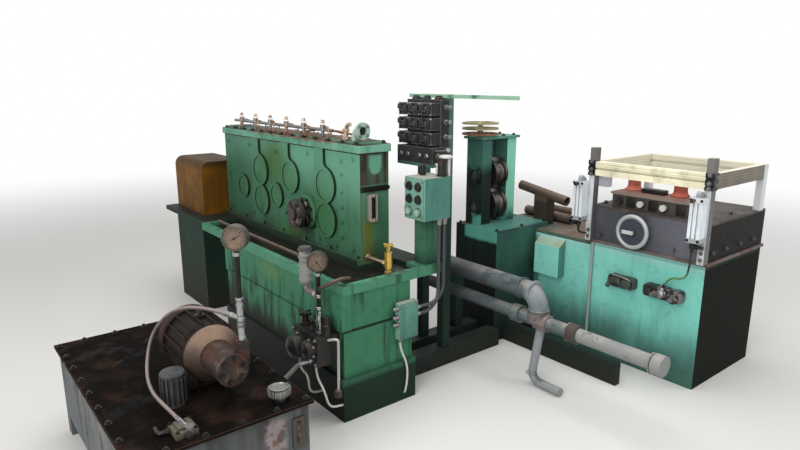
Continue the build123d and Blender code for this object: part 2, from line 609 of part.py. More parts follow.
with BuildPart() as tube_offcuts:
    for (x, y), slope in zip(offcut_starts, offcut_slopes):
        start = (x, y, bed_level + offcut_radius + offcut_lift)
        rod(start, (1, slope, 0), offcut_radius, offcut_length)
        rod(start, (1, slope, 0), offcut_radius - offcut_wall, offcut_length, Mode.SUBTRACT)
    slab(rest_left, rest_left + rest_length, stand_back + rest_gap, stand_back + rest_gap + rest_depth,
         bed_level, bed_level + rest_height)
    rod(leaning_start, leaning_way, offcut_radius + offcut_lift, leaning_length, Mode.SUBTRACT)
    rod(leaning_start, leaning_way, offcut_radius, leaning_length)
    rod(leaning_start, leaning_way, offcut_radius - offcut_wall, leaning_length, Mode.SUBTRACT)
save(tube_offcuts.part, "tube_offcuts")

with BuildPart() as station_cabinet:
    slab(seam_x, cabinet_right, bed_front, cabinet_back, 0, bed_level)
save(station_cabinet.part, "station_cabinet")

with BuildPart() as head_plates:
    slab(head_left - head_flange_proud, cabinet_right + head_flange_proud, bed_front - head_flange_proud,
         cabinet_back + head_flange_proud, bed_level, head_bottom)
    slab(head_left, cabinet_right, bed_front, cabinet_back, head_top, deck_top)
save(head_plates.part, "head_plates")

with BuildPart() as roll_head:
    slab(head_left, cabinet_right, bed_front, cabinet_back, head_bottom, head_top)
save(roll_head.part, "roll_head")

with BuildPart() as saddle:
    slab(saddle_left, saddle_left + saddle_length, bed_front + saddle_inset,
         bed_front + saddle_inset + saddle_depth, deck_top, deck_top + saddle_height)
    slab(saddle_left - saddle_plate_proud, saddle_left + saddle_length + saddle_plate_proud,
         bed_front + saddle_inset - saddle_plate_proud, bed_front + saddle_inset + saddle_depth,
         deck_top + saddle_height - saddle_plate, deck_top + saddle_height)
save(saddle.part, "saddle")

with BuildPart() as saddle_knobs:
    for number in range(knob_count):
        rod((saddle_left + knob_first + number * knob_pitch, bed_front + saddle_inset,
             deck_top + knob_rise), (0, -1, 0), knob_radius, knob_height)
save(saddle_knobs.part, "saddle_knobs")

with BuildPart() as clamp_blocks:
    for x in clamp_x:
        rod((x, clamp_y, deck_top + saddle_height), (0, 0, 1), clamp_radius, clamp_height)
    fillet(clamp_blocks.edges().group_by(Axis.Z)[-1], clamp_dome)
save(clamp_blocks.part, "clamp_blocks")

# Handwheel and its boss
with BuildPart() as wheel_boss:
    rod((wheel_x, bed_front, wheel_z), (0, -1, 0), boss_radius, boss_length)
    rod((wheel_x, bed_front, wheel_z), (0, -1, 0), spindle_radius + running_gap, boss_length, Mode.SUBTRACT)
save(wheel_boss.part, "wheel_boss")

with BuildPart() as handwheel:
    with BuildSketch(Plane.YZ.offset(wheel_x)) as wheel_half:
        with Locations((wheel_y, wheel_z + wheel_radius - wheel_rim_radius)):
            Circle(wheel_rim_radius)
        with Locations((wheel_y, wheel_z + (wheel_radius - wheel_rim_radius) / 2)):
            Rectangle(wheel_web_thickness, wheel_radius - wheel_rim_radius)
        with Locations((wheel_y, wheel_z + wheel_hub_radius / 2)):
            Rectangle(wheel_hub_length, wheel_hub_radius)
    revolve(wheel_half.sketch, axis=Axis((wheel_x, 0, wheel_z), (0, 1, 0)))
    rod((wheel_x, wheel_y, wheel_z), (0, 1, 0), spindle_radius, wheel_stand_off - spindle_gap)
    slab(wheel_x - grip_length / 2, wheel_x + grip_length / 4, wheel_y - wheel_hub_length / 2 - grip_depth,
         wheel_y - wheel_hub_length / 2, wheel_z - grip_width / 2, wheel_z + grip_width / 2)
save(handwheel.part, "handwheel")

# Guard frame of aluminium profile
bar_front = bed_front - frame_post_depth / 2 - frame_bar_width / 2
with BuildPart() as frame_posts:
    for x in (frame_left - frame_post_width, frame_right):
        for y in (bed_front - frame_post_depth, frame_back):
            low, high = (head_bottom, frame_post_top) if y < bed_front else (deck_top, frame_top)
            slab(x, x + frame_post_width, y, y + frame_post_depth, low, high)
    for head_x in (frame_left - frame_post_width - post_head_proud, frame_right):
        head_right, head_front = head_x + frame_post_width + post_head_proud, bar_front - post_head_proud
        slab(head_x, head_right, head_front, bed_front, post_head_low, post_head_low + post_head_height)
        for notch in (1, 3):
            notch_z = post_head_low + post_head_height * notch / 5
            slab(head_x, head_right, head_front, head_front + post_notch_depth,
                 notch_z, notch_z + post_notch_height, Mode.SUBTRACT)
save(frame_posts.part, "frame_posts")

with BuildPart() as frame_bars:
    for bar_y in (bar_front, frame_back):
        slab(frame_left, frame_right, bar_y, bar_y + frame_bar_width, frame_low, frame_top)
        for side in (bar_y, bar_y + frame_bar_width - frame_groove_depth):
            slab(frame_left, frame_right, side, side + frame_groove_depth,
                 frame_low + frame_bar_height / 2 - frame_groove_width / 2,
                 frame_low + frame_bar_height / 2 + frame_groove_width / 2, Mode.SUBTRACT)
    for bar_x in (frame_left - frame_post_width, frame_right):
        slab(bar_x, bar_x + frame_post_width, bed_front, frame_back, frame_low, frame_top)
    slab(frame_left - frame_post_width / 2, bracket_right, bed_front, bed_front + bracket_depth,
         bracket_low, bracket_low + bracket_height)
save(frame_bars.part, "frame_bars")

with BuildPart() as side_cylinders:
    cylinder_back = bed_front - frame_post_depth
    cylinder_front, cylinder_top = cylinder_back - cylinder_depth, cylinder_z + cylinder_height
    for edge, lap in zip((frame_left - frame_post_width, frame_right), cylinder_laps):
        x = edge - cylinder_width + lap
        slab(x + cylinder_inset, x + cylinder_width - cylinder_inset, cylinder_front + cylinder_inset,
             cylinder_back, cylinder_z + cylinder_cap, cylinder_top - cylinder_cap)
        for slot_x in (x + cylinder_width / 3, x + cylinder_width * 2 / 3):
            slab(slot_x - cylinder_slot / 2, slot_x + cylinder_slot / 2, cylinder_front,
                 cylinder_front + cylinder_inset + cylinder_slot_depth, cylinder_z, cylinder_top,
                 Mode.SUBTRACT)
        for low in (cylinder_z, cylinder_top - cylinder_cap):
            slab(x, x + cylinder_width, cylinder_front, cylinder_back, low, low + cylinder_cap)
        eye_left, eye_y = x + cylinder_width / 2 - eye_width / 2, cylinder_back - cylinder_depth / 2
        slab(eye_left, eye_left + eye_width, eye_y - eye_radius, cylinder_back,
             cylinder_top, cylinder_top + eye_rise)
        rod((eye_left, eye_y, cylinder_top + eye_rise), (1, 0, 0), eye_radius, eye_width)
save(side_cylinders.part, "side_cylinders")

# Sockets on the cabinet and the junction box on the drive base
with BuildPart() as socket_boxes:
    for x, socket_width in zip(socket_x, socket_widths):
        slab(x, x + socket_width, bed_front - socket_depth, bed_front, socket_z, socket_z + socket_height)
    fillet(socket_boxes.edges().filter_by(Axis.Y), socket_round)
    tail_way = Vector(*air_hose_points[-1]) - Vector(*air_hose_points[-2])
    rod(air_hose_points[-1], tail_way, hose_tail_radius, hose_tail_length)
save(socket_boxes.part, "socket_boxes")

with BuildPart() as junction_box:
    slab(base_right, base_right + junction_proud, junction_y, junction_y + junction_width,
         junction_z, junction_z + junction_height)
save(junction_box.part, "junction_box")

with BuildPart() as conduits:
    rod((seam_x, bed_front - conduit_radius, conduit_foot), (0, 0, 1), conduit_radius,
        bed_level - conduit_foot)
    for offset in (0, box_conduit_pitch):
        drop_z = box_conduit_low - offset
        add(pipe_along([(box_conduit_x, box_conduit_y - offset, panel_low),
                        (box_conduit_x, box_conduit_y - offset, drop_z),
                        (base_right + junction_proud / 2, junction_y + junction_width, drop_z)],
                       box_conduit_bend, conduit_radius))
save(conduits.part, "conduits")

with BuildPart() as air_hose:
    add(cord_along(air_hose_points, air_hose_diameter))
save(air_hose.part, "air_hose")

# Coolant pipes
with BuildPart() as coolant_main:
    rod((pipe_left, pipe_y, main_pipe_z), (1, 0, 0), main_pipe_radius, main_right - pipe_left)
    for x in union_x:
        rod((x, pipe_y, main_pipe_z), (1, 0, 0), union_radius, union_length)
    rod((elbow_x, pipe_y, main_pipe_z), (0, 0, 1), tee_radius, tee_height)
save(coolant_main.part, "coolant_main")

with BuildPart() as coolant_branch:
    add(pipe_along([(branch_x + branch_lean, pipe_y, main_pipe_z), (branch_x, pipe_y, branch_z),
                    (branch_x + branch_length, pipe_y, branch_z)], branch_bend, branch_radius))
    rod((pipe_left, pipe_y, main_pipe_z), (1, 0, 0), main_pipe_radius, main_right - pipe_left, Mode.SUBTRACT)
save(coolant_branch.part, "coolant_branch")

with BuildPart() as coolant_feed:
    add(pipe_along([(pipe_left, pipe_y, feed_pipe_z), (elbow_x, pipe_y, feed_pipe_z),
                    (elbow_x, pipe_y, main_pipe_z + tee_height)], elbow_radius, feed_pipe_radius))
save(coolant_feed.part, "coolant_feed")

with BuildPart() as pipe_stand:
    stand_low_x, stand_high_x = beam_x[0] - pipe_stand_size / 2, beam_x[0] + pipe_stand_size / 2
    slab(stand_low_x, stand_high_x, pipe_y + feed_pipe_radius,
         pipe_y + feed_pipe_radius + pipe_stand_size, beam_height, feed_pipe_z)
    slab(stand_low_x, stand_high_x, pipe_y, pipe_y + feed_pipe_radius, main_pipe_z, feed_pipe_z)
    rod((stand_low_x, pipe_y, main_pipe_z), (1, 0, 0), main_pipe_radius, pipe_stand_size, Mode.SUBTRACT)
    rod((stand_low_x, pipe_y, feed_pipe_z), (1, 0, 0), feed_pipe_radius, pipe_stand_size, Mode.SUBTRACT)
save(pipe_stand.part, "pipe_stand")

# Hydraulic power unit
with BuildPart() as tank:
    slab(tank_left, tank_right, tank_front, tank_back, tank_leg, tank_top)
save(tank.part, "tank")

with BuildPart() as tank_legs:
    for x in (tank_left, tank_right - leg_width):
        slab(x, x + leg_width, tank_front, tank_back, 0, tank_leg)
save(tank_legs.part, "tank_legs")

with BuildPart() as tank_lid:
    slab(tank_left - tank_lid_proud, tank_right + tank_lid_proud, tank_front - tank_lid_proud,
         tank_back + tank_lid_proud, tank_top, tank_lid_top)
save(tank_lid.part, "tank_lid")

with BuildPart() as pump_motor:
    rod((motor_left, motor_y, motor_z), (1, 0, 0), cowl_radius, cowl_length)
    fillet(pump_motor.edges().sort_by(Axis.X)[0], cowl_round)
    rod((motor_left + cowl_length, motor_y, motor_z), (1, 0, 0), motor_radius, motor_length)
    fins((motor_left + cowl_length, motor_y, motor_z), (1, 0, 0), (0, 1, 0), motor_radius,
         motor_length - foot_plate, motor_fin_count, motor_fin_width, motor_fin_proud)
    slab(motor_left + cowl_length + foot_inset, motor_right - foot_inset,
         motor_y - motor_radius, motor_y + motor_radius, tank_lid_top, tank_lid_top + foot_plate)
    slab(motor_left + cowl_length + foot_inset, motor_right - foot_inset,
         motor_y - motor_radius / 2, motor_y + motor_radius / 2, tank_lid_top, motor_z)
save(pump_motor.part, "pump_motor")

with BuildPart() as oil_pump:
    with BuildSketch(Plane.XZ.offset(-motor_y)) as pump_half:
        with BuildLine():
            Polyline((motor_right, motor_z), (motor_right, motor_z + bell_radius),
                     (motor_right + bell_rim, motor_z + bell_radius), (bell_right, motor_z + bell_throat),
                     (bell_right, motor_z + pump_radius), (pump_right, motor_z + pump_radius),
                     (pump_right, motor_z), close=True)
        make_face()
    revolve(axis=Axis((0, motor_y, motor_z), (1, 0, 0)))
    slab(pump_gauge_x - tee_block_size / 2, pump_gauge_x + tee_block_size / 2,
         pump_gauge_y - tee_block_size / 2, pump_gauge_y + tee_block_size / 2, motor_z, tee_block_top)
save(oil_pump.part, "oil_pump")

with BuildPart() as circulation_motor:
    rod((small_motor_x, small_motor_y, tank_lid_top), (0, 0, 1), small_motor_radius, small_motor_height)
    fins((small_motor_x, small_motor_y, tank_lid_top + small_motor_base), (0, 0, 1), (1, 0, 0),
         small_motor_radius, small_motor_height - small_motor_base * 2, small_fin_count, small_fin_width,
         small_fin_proud)
save(circulation_motor.part, "circulation_motor")

with BuildPart() as filler_cap:
    rod((filler_x, filler_y, tank_lid_top), (0, 0, 1), filler_neck_radius, filler_height / 2)
    rod((filler_x, filler_y, tank_lid_top + filler_height / 2), (0, 0, 1), filler_radius, filler_height / 2)
save(filler_cap.part, "filler_cap")

# Filter, gauges and hydraulic lines
with BuildPart() as filter_block:
    slab(filter_left, filter_right, base_front - filter_depth, base_front, filter_low, filter_high)
save(filter_block.part, "filter_block")

with BuildPart() as ribbed_riser:
    add(pipe_along([(ribbed_x, piping_y, ribbed_low), (ribbed_x, piping_y, ribbed_low - ribbed_elbow_drop),
                    (line_gauge_x - riser_radius, piping_y, ribbed_low - ribbed_elbow_drop)],
                   ribbed_elbow_bend, ribbed_elbow_radius))
    rod((ribbed_x, piping_y, ribbed_low), (0, 0, 1), ribbed_radius, ribbed_length)
    for rib in range(rib_count):
        rod((ribbed_x, piping_y, ribbed_low + (rib + 0.5) * ribbed_length / rib_count), (0, 0, 1),
            ribbed_radius + rib_proud, rib_height)
save(ribbed_riser.part, "ribbed_riser")

with BuildPart() as hydraulic_lines:
    rod((pump_gauge_x, pump_gauge_y, tee_block_top), (0, 0, 1), riser_radius,
        pump_gauge_z - gauge_radius - tee_block_top)
    rod((line_gauge_x, piping_y, filter_high), (0, 0, 1), riser_radius,
        line_gauge_z - gauge_radius - filter_high)
    add(pipe_along([(line_x, tank_back, line_z), (line_x, line_turn_y, line_z),
                    (line_gauge_x, line_join_y, line_z),
                    (line_gauge_x, base_front - filter_depth, line_z)], line_bend, riser_radius))
    rod(hose_points[0], Vector(*hose_points[0]) - Vector(*hose_points[1]), hose_tail_radius + 2,
        hose_tail_length)
    hose_way = Vector(*hose_points[-1]) - Vector(*hose_points[-2])
    hose_end = Vector(*hose_points[-1]) + hose_way.normalized() * hose_tail_length
    rod(hose_points[-1], hose_way, hose_tail_radius + 2, hose_tail_length)
    rod((hose_end.X, hose_end.Y, tank_lid_top), (0, 0, 1), hose_tail_radius * 2,
        hose_end.Z + hose_tail_radius * 2 - tank_lid_top)
save(hydraulic_lines.part, "hydraulic_lines")

with BuildPart() as return_hose:
    add(cord_along(hose_points, hose_diameter))
save(return_hose.part, "return_hose")

with BuildPart() as pressure_gauges:
    for place in ((pump_gauge_x, pump_gauge_y, pump_gauge_z), (line_gauge_x, piping_y, line_gauge_z)):
        with Locations(Plane(origin=place, z_dir=(1, -1, 0))):
            Cylinder(gauge_radius, gauge_depth)
save(pressure_gauges.part, "pressure_gauges")
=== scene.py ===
# %% [markdown]
# # A section of a tube mill
# The solids of the mill come in as a fixed frame, in metres: +X runs along the mill, -Y is the working side and
# +Z is up. This file gives every solid its finish and adds what is too small for the solids: bolts, grilles,
# dials, grease, hoses and fittings. Nothing here moves or resizes a solid.

# %% Load the frame
import itertools
import math

import bmesh
import bpy
from mathutils import Matrix, Vector
from mathutils import noise as lumps


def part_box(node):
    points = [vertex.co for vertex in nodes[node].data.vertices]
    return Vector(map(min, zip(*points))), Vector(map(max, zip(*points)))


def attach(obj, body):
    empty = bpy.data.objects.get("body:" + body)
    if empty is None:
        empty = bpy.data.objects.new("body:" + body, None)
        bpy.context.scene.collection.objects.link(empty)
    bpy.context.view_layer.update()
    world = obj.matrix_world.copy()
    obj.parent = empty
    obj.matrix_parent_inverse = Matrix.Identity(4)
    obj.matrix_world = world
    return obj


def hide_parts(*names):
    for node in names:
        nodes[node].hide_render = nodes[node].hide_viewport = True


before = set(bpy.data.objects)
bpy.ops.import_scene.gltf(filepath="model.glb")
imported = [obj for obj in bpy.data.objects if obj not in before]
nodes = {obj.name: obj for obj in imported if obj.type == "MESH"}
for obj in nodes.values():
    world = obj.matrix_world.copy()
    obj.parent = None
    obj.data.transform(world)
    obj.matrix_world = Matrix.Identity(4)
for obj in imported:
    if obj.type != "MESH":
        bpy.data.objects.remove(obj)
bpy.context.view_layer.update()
collection = bpy.context.scene.collection
UP, DOWN, FRONT, BACK = (0, 0, 1), (0, 0, -1), (0, -1, 0), (0, 1, 0)
RIGHT, LEFT = (1, 0, 0), (-1, 0, 0)

# %% [markdown]
# The camera stands where the photographer stood, a little above head height, and looks along the mill from its
# right front. A quaternion holds its direction, so that no roll creeps in.

# %% Camera
camera_data = bpy.data.cameras.new("camera")
camera = bpy.data.objects.new("camera", camera_data)
collection.objects.link(camera)
turn, dip = math.radians(51.333), math.radians(13.127)
sight = Vector((-math.sin(turn) * math.cos(dip), math.cos(turn) * math.cos(dip), -math.sin(dip)))
camera.location = (2.83, -1.63, 1.55)
camera.rotation_mode = "QUATERNION"
camera.rotation_quaternion = sight.to_track_quat("-Z", "Y")
camera_data.sensor_width, camera_data.lens = 36, 27.77
bpy.context.scene.camera = camera
print("camera looks along", [round(part, 3) for part in sight])

# %% [markdown]
# ## The two hoses
# A hydraulic hose keeps its length and bends in one smooth line. A NURBS spline of order 3 with the route's few
# points as control points does that: it cuts inside each corner and never shows a kink. The return hose of the
# power unit arches from the gauge riser over the motor down to the lid, and the thin air hose joins the
# right-hand cylinder to the second socket.

# %% Hoses
def hose(name, node, route, diameter):
    """A round hose on one open spline, on the mill frame; the solid it stands for is hidden."""
    curve = bpy.data.curves.new(name, "CURVE")
    curve.dimensions, curve.resolution_u, curve.bevel_resolution = "3D", 10, 4
    curve.bevel_depth, curve.use_fill_caps = diameter / 2, True
    spline = curve.splines.new("NURBS")
    spline.points.add(len(route) - 1)
    for point, place in zip(spline.points, route):
        point.co = (*place, 1)
    spline.order_u, spline.use_endpoint_u = 3, True
    piece = bpy.data.objects.new(name, curve)
    collection.objects.link(piece)
    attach(piece, "mill_frame")
    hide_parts(node)
    return piece


return_route = [(0.83, -0.796, 0.7295), (0.745, -0.85, 0.748), (0.6, -0.93, 0.725), (0.5, -0.99, 0.61),
                (0.54, -1.034, 0.49), (0.7, -1.069, 0.472), (0.85, -1.063, 0.47), (0.94, -1.037, 0.44)]
air_route = [(1.46, 1.279, 0.792), (1.46, 1.279, 0.668), (1.44, 1.285, 0.593), (1.35, 1.3, 0.583), (1.322, 1.318, 0.53)]


def route_length(route):
    """The length of the runs added up."""
    return sum((Vector(b) - Vector(a)).length for a, b in zip(route, route[1:]))


return_line = hose("return_line", "return_hose", return_route, 0.014)
air_line = hose("air_line", "air_hose", air_route, 0.01)
print("hose runs:", round(route_length(return_route), 3), round(route_length(air_route), 3))

# %% [markdown]
# ## Finishes from expressions
# A material is a graph of nodes, which soon grows hard to read. Here a small class wraps a socket, so that Python's
# own signs add the Math nodes, while above, below and within cut soft masks out of any value. A finish is built in
# layers: a ground colour, then masks that cover parts of it with dirt, rust or oil, and in places with painted light
# and shade. All patterns read Object coordinates, which are metres of the mill itself.

# %% The shader class
class Field:
    """A number, colour or vector that a material works out."""

    def __init__(self, finish, socket):
        self.finish, self.socket = finish, socket

    def sum(self, operation, *others):
        return self.finish.node("ShaderNodeMath", {"operation": operation}, [self, *others])

    def __add__(self, other):
        return self.sum("ADD", other)

    def __sub__(self, other):
        return self.sum("SUBTRACT", other)

    def __rsub__(self, other):
        return self.finish.node("ShaderNodeMath", {"operation": "SUBTRACT"}, [other, self])

    def __mul__(self, other):
        return self.sum("MULTIPLY", other)

    def __pow__(self, other):
        return self.sum("POWER", other)

    def top(self, other):
        return self.sum("MAXIMUM", other)

    def above(self, low, high):
        """A mask that opens smoothly between two values."""
        return self.finish.node("ShaderNodeMapRange", {"interpolation_type": "SMOOTHSTEP"},
                                {"Value": self, "From Min": low, "From Max": high})

    def below(self, low, high):
        return 1 - self.above(low, high)

    def within(self, low, high, soft=0.002):
        return self.above(low - soft, low + soft) * self.below(high - soft, high + soft)

    __radd__, __rmul__ = __add__, __mul__


class Finish:
    """A material built in layers, from masks and colours."""

    def __init__(self, name, ground, specular=0.3):
        self.material = bpy.data.materials.new(name)
        self.material.use_nodes = True
        self.tree = self.material.node_tree
        self.shader = self.tree.nodes["Principled BSDF"]
        self.where = self.node("ShaderNodeTexCoord", output="Object")
        self.colour = (*ground, 1)
        self.material.diffuse_color = (*ground, 1)
        self.shader.inputs["Specular IOR Level"].default_value = specular

    def node(self, kind, settings=None, inputs=(), output=0):
        made = self.tree.nodes.new(kind)
        for key, value in (settings or {}).items():
            setattr(made, key, value)
        pairs = inputs.items() if isinstance(inputs, dict) else enumerate(inputs)
        for key, value in pairs:
            if isinstance(value, Field):
                self.tree.links.new(value.socket, made.inputs[key])
            else:
                made.inputs[key].default_value = value
        return Field(self, made.outputs[output])

    def axes(self, letters="XYZ"):
        made = [self.node("ShaderNodeSeparateXYZ", inputs=[self.where], output=letter) for letter in letters]
        return made if len(made) > 1 else made[0]

    def noise(self, scale, detail=4, seed=0, stretch=(1, 1, 1), rough=0.55):
        spread = self.node("ShaderNodeVectorMath", {"operation": "MULTIPLY_ADD"},
                           [self.where, stretch, (seed, seed * 1.7, seed * 2.3)])
        return self.node("ShaderNodeTexNoise", inputs={"Vector": spread, "Scale": scale, "Detail": detail,
                                                       "Roughness": rough})

    def spot(self, across, up, middle, radius, soft=0.5):
        gap = ((across - middle[0]) ** 2 + (up - middle[1]) ** 2) ** 0.5
        return gap.below(radius * (1 - soft), radius)

    # An ambient occlusion mask of where shade gathers in corners and gaps, used for painted shade.
    def crevices(self, reach=0.05):
        open_sky = self.node("ShaderNodeAmbientOcclusion", {"samples": 6}, {"Distance": reach}, output="AO")
        return (1 - open_sky).above(0.25, 0.85)

    def edges(self, radius=0.004):
        soft = self.node("ShaderNodeBevel", {"samples": 4}, {"Radius": radius})
        hard = self.node("ShaderNodeNewGeometry", output="Normal")
        match = self.node("ShaderNodeVectorMath", {"operation": "DOT_PRODUCT"}, [soft, hard], output="Value")
        return (1 - match).above(0.01, 0.12)

    def facing(self, axis):
        hard = self.node("ShaderNodeNewGeometry", output="Normal")
        return self.node("ShaderNodeVectorMath", {"operation": "DOT_PRODUCT"}, [hard, axis], output="Value")

    def toward(self, axis):
        """A mask of the sides that look along an axis."""
        return self.facing(axis).above(0.5, 0.9)

    def mix(self, factor, first, second):
        return self.node("ShaderNodeMix", {"data_type": "RGBA"}, {0: factor, 6: first, 7: second}, output=2)

    def cover(self, mask, colour, patches=None):
        """Lay a colour over what is there. patches break it up: scale, detail and seed of a noise, and two limits."""
        if patches:
            mask = self.noise(*patches[:3]).above(*patches[3:]) * mask
        self.colour = self.mix(mask, self.colour, (*colour, 1))

    def done(self, roughness=0.5, metallic=0.0, height=None, bump=0.2, depth=0.002):
        sockets = self.shader.inputs
        for name, value in (("Base Color", self.colour), ("Roughness", roughness), ("Metallic", metallic)):
            if isinstance(value, Field):
                self.tree.links.new(value.socket, sockets[name])
            else:
                sockets[name].default_value = value
        if height is not None:
            lift = self.node("ShaderNodeBump", inputs={"Strength": bump, "Distance": depth, "Height": height},
                             output="Normal")
            self.tree.links.new(lift.socket, sockets["Normal"])

    def put_on(self, *names):
        """Give the finish to solids."""
        for name in names:
            nodes[name].data.materials.clear()
            nodes[name].data.materials.append(self.material)

    def give(self, *names, bump=None):
        """Close a paint or a metal and give it to solids."""
        self.done(self.gloss, self.metallic, self.relief, bump or self.bump, self.depth)
        self.put_on(*names)


print("shader class ready")

# %% [markdown]
# ## Worn machine paint
# Most of the mill is teal machine paint, decades old: chalky where light falls, dark with oil where hands and
# coolant reach, streaked downwards, black in the corners with grime and painted shade, and chipped on the edges.
# Each of these is one mask over the ground colour. Noise stretched along Z gives the runs, the shading of narrow
# gaps gives the grime and painted shade in corners, and the difference between a rounded and a sharp normal finds the
# edges.

# %% Worn paint
# A dark grime colour, which also serves as painted shade in corners.
DARK_GRIME_AND_SHADE, RUST = (0.018, 0.016, 0.013), (0.115, 0.05, 0.025)


def worn_paint(name, ground, chalk=None, corner_grime_and_shade=0.7, runs=0.5, rust=0.5, chips=0.5, foot=None, seed=1,
               specular=0.11):
    """A finish of old paint. foot is the height over which it darkens towards the floor."""
    coat = Finish(name, ground, specular)
    chalk = chalk or tuple(min(1.0, part * 1.45 + 0.01) for part in ground)
    cloud = coat.noise(2.6, 5, seed)
    coat.cover(cloud.above(0.42, 0.68) * 0.55, chalk)
    mottle = coat.noise(22, 6, seed + 3, rough=0.65)
    coat.cover(mottle.above(0.5, 0.72) * 0.35, tuple(part * 0.45 for part in ground))
    upright = coat.facing(UP).below(0.4, 0.8)
    run = coat.noise(1, 5, seed + 7, (24, 24, 1.3), 0.6).above(0.52, 0.7) * upright
    coat.cover(run * runs, DARK_GRIME_AND_SHADE, (3, 3, seed + 11, 0.35, 0.6))
    worn = coat.noise(7, 6, seed + 17, rough=0.7).above(0.55, 0.75)
    coat.cover(worn * rust * 0.5, (ground[0] * 0.6 + 0.05, ground[1] * 0.55 + 0.01, ground[2] * 0.4))
    # Painted shade with grime: corners darken where the occlusion mask finds them.
    corner = coat.crevices(0.05)
    coat.cover(corner * (0.35 + coat.noise(14, 5, seed + 23) * 0.9) * corner_grime_and_shade, DARK_GRIME_AND_SHADE)
    edge = coat.edges(0.004) * coat.noise(30, 5, seed + 29).above(0.44, 0.56)
    coat.cover(edge * chips, RUST)
    fleck = coat.noise(60, 4, seed + 31, rough=0.6).above(0.68, 0.72)
    coat.cover(fleck * chips, tuple(part * 0.5 + 0.02 for part in RUST))
    if foot:
        low = (coat.axes("Z") + coat.noise(6, 5, seed + 37) * (foot[1] - foot[0])).below(foot[0], foot[1] * 1.5)
        coat.cover(low * 0.9, DARK_GRIME_AND_SHADE)
    coat.gloss = 0.42 + mottle * 0.28 + corner * 0.1
    coat.relief = mottle * 0.5 + fleck * -0.8 + coat.noise(6, 2, seed + 41) * 0.8
    coat.metallic, coat.bump, coat.depth = 0.0, 0.25, 0.0015
    return coat


print("worn paint ready")

# %% [markdown]
# ## The gearbox
# The gearbox is the greenest piece. Its lid joint shows a black gasket line, oil has run down the end face on both
# sides of a clean window to a sloping lip, and a yellow stain lies under the sight glass. The masks are written
# with the same heights as the solids, so they sit where the parts are.

# %% Gearbox paint
MILL_GREEN = (0.041, 0.128, 0.068)
case = worn_paint("gearbox_paint", MILL_GREEN, (0.058, 0.172, 0.098), runs=0.55, seed=2)
x, y, z = case.axes()
top_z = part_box("gearbox_case")[1].z
# Painted light: the upper part of the case is painted a lighter green where light falls.
painted_light_zone = (z + case.noise(3, 3, 6) * 0.2 + x * 0.12).above(1.0, 1.26)
case.cover(painted_light_zone * 0.75, (0.13, 0.33, 0.23))
# Painted shade: the left end of the case is painted a darker green.
case.cover((x + case.noise(3, 3, 9) * 0.3).below(-0.85, -0.25) * 0.35, (0.02, 0.06, 0.038))
olive = case.spot(x * 0.75, z, (-0.35, 1.09), 0.19, 0.8).top(case.spot(x * 0.6, z, (-0.16, 0.7), 0.12, 0.8))
case.cover(olive * (0.45 + case.noise(9, 5, 5, (1, 1, 0.4)) * 0.7), (0.042, 0.105, 0.024))
case.cover(z.within(top_z - 0.007, top_z + 0.001), (0.006, 0.006, 0.005))
at_end = x.above(0.398, 0.4)
drips = case.noise(1, 4, 9, (1, 60, 2.0)).above(0.36, 0.6)
window = (y.within(0.122, 0.196, 0.008) * z.within(1.135, 1.198, 0.008)).top(
    case.spot(y, z, (0.159, 1.135), 0.038, 0.3))
soaked = at_end * z.above(1.04, 1.06) * (1 - window)
case.cover(soaked * (0.68 + drips * 0.32), (0.026, 0.013, 0.01))
case.cover(soaked * drips * z.below(1.1, 1.135) * 0.5, (0.07, 0.062, 0.04))
case.cover(at_end * z.within(1.018, 1.046, 0.003), (0.008, 0.007, 0.006))
stain = at_end * y.within(0.084, 0.146, 0.014) * z.below(0.85, 0.89)
case.cover(stain * (0.5 + case.noise(12, 4, 8, (1, 1, 0.3)) * 0.6), (0.105, 0.13, 0.022))
case.cover(at_end * y.within(0.063, 0.092, 0.012) * z.below(1.0, 1.03) * 0.4, (0.13, 0.15, 0.07))
# Painted shadow: a near-black band along the foot of the case, outside the end face.
case.cover(z.below(0.67, 0.69) * (1 - at_end) * 0.85, (0.01, 0.011, 0.009))
case.cover(at_end * y.within(0.061, 0.074, 0.004) * z.above(0.75, 0.8) * 0.5, (0.03, 0.03, 0.02))
low_front = z.below(0.66, 0.8) * case.noise(5, 4, 13, (1, 1, 0.4)).above(0.42, 0.62)
case.cover(low_front * 0.75, (0.03, 0.034, 0.022))
hub_shade = case.spot(x, z, (-0.085, 0.77), 0.17, 0.8) * case.noise(9, 4, 4).above(0.4, 0.6)
case.cover(hub_shade * 0.7, (0.022, 0.022, 0.018))
case.give("gearbox_case", "input_collar")

plates = worn_paint("cover_paint", (0.041, 0.136, 0.06), (0.062, 0.182, 0.096), runs=0.6, seed=6)
x, z = plates.axes("XZ")
# Painted shade with grime: the side faces of the raised covers are painted near black.
shaded_grimy_rim = plates.facing(FRONT).top(plates.facing(BACK)).below(0.35, 0.75)
# Painted light on the upper part, painted shade at the left end, as on the case.
plates.cover((z + plates.noise(3, 3, 6) * 0.2 + x * 0.12).above(1.0, 1.26) * 0.6, (0.11, 0.28, 0.185))
plates.cover((x + plates.noise(3, 3, 9) * 0.3).below(-0.85, -0.25) * 0.35, (0.02, 0.06, 0.038))
olive = plates.spot(x * 0.75, z, (-0.35, 1.09), 0.19, 0.8)
plates.cover(olive * (0.45 + plates.noise(9, 5, 5, (1, 1, 0.4)) * 0.7), (0.04, 0.105, 0.022))
plates.cover(shaded_grimy_rim * 0.92, (0.012, 0.013, 0.01))
plates.give("bearing_covers")

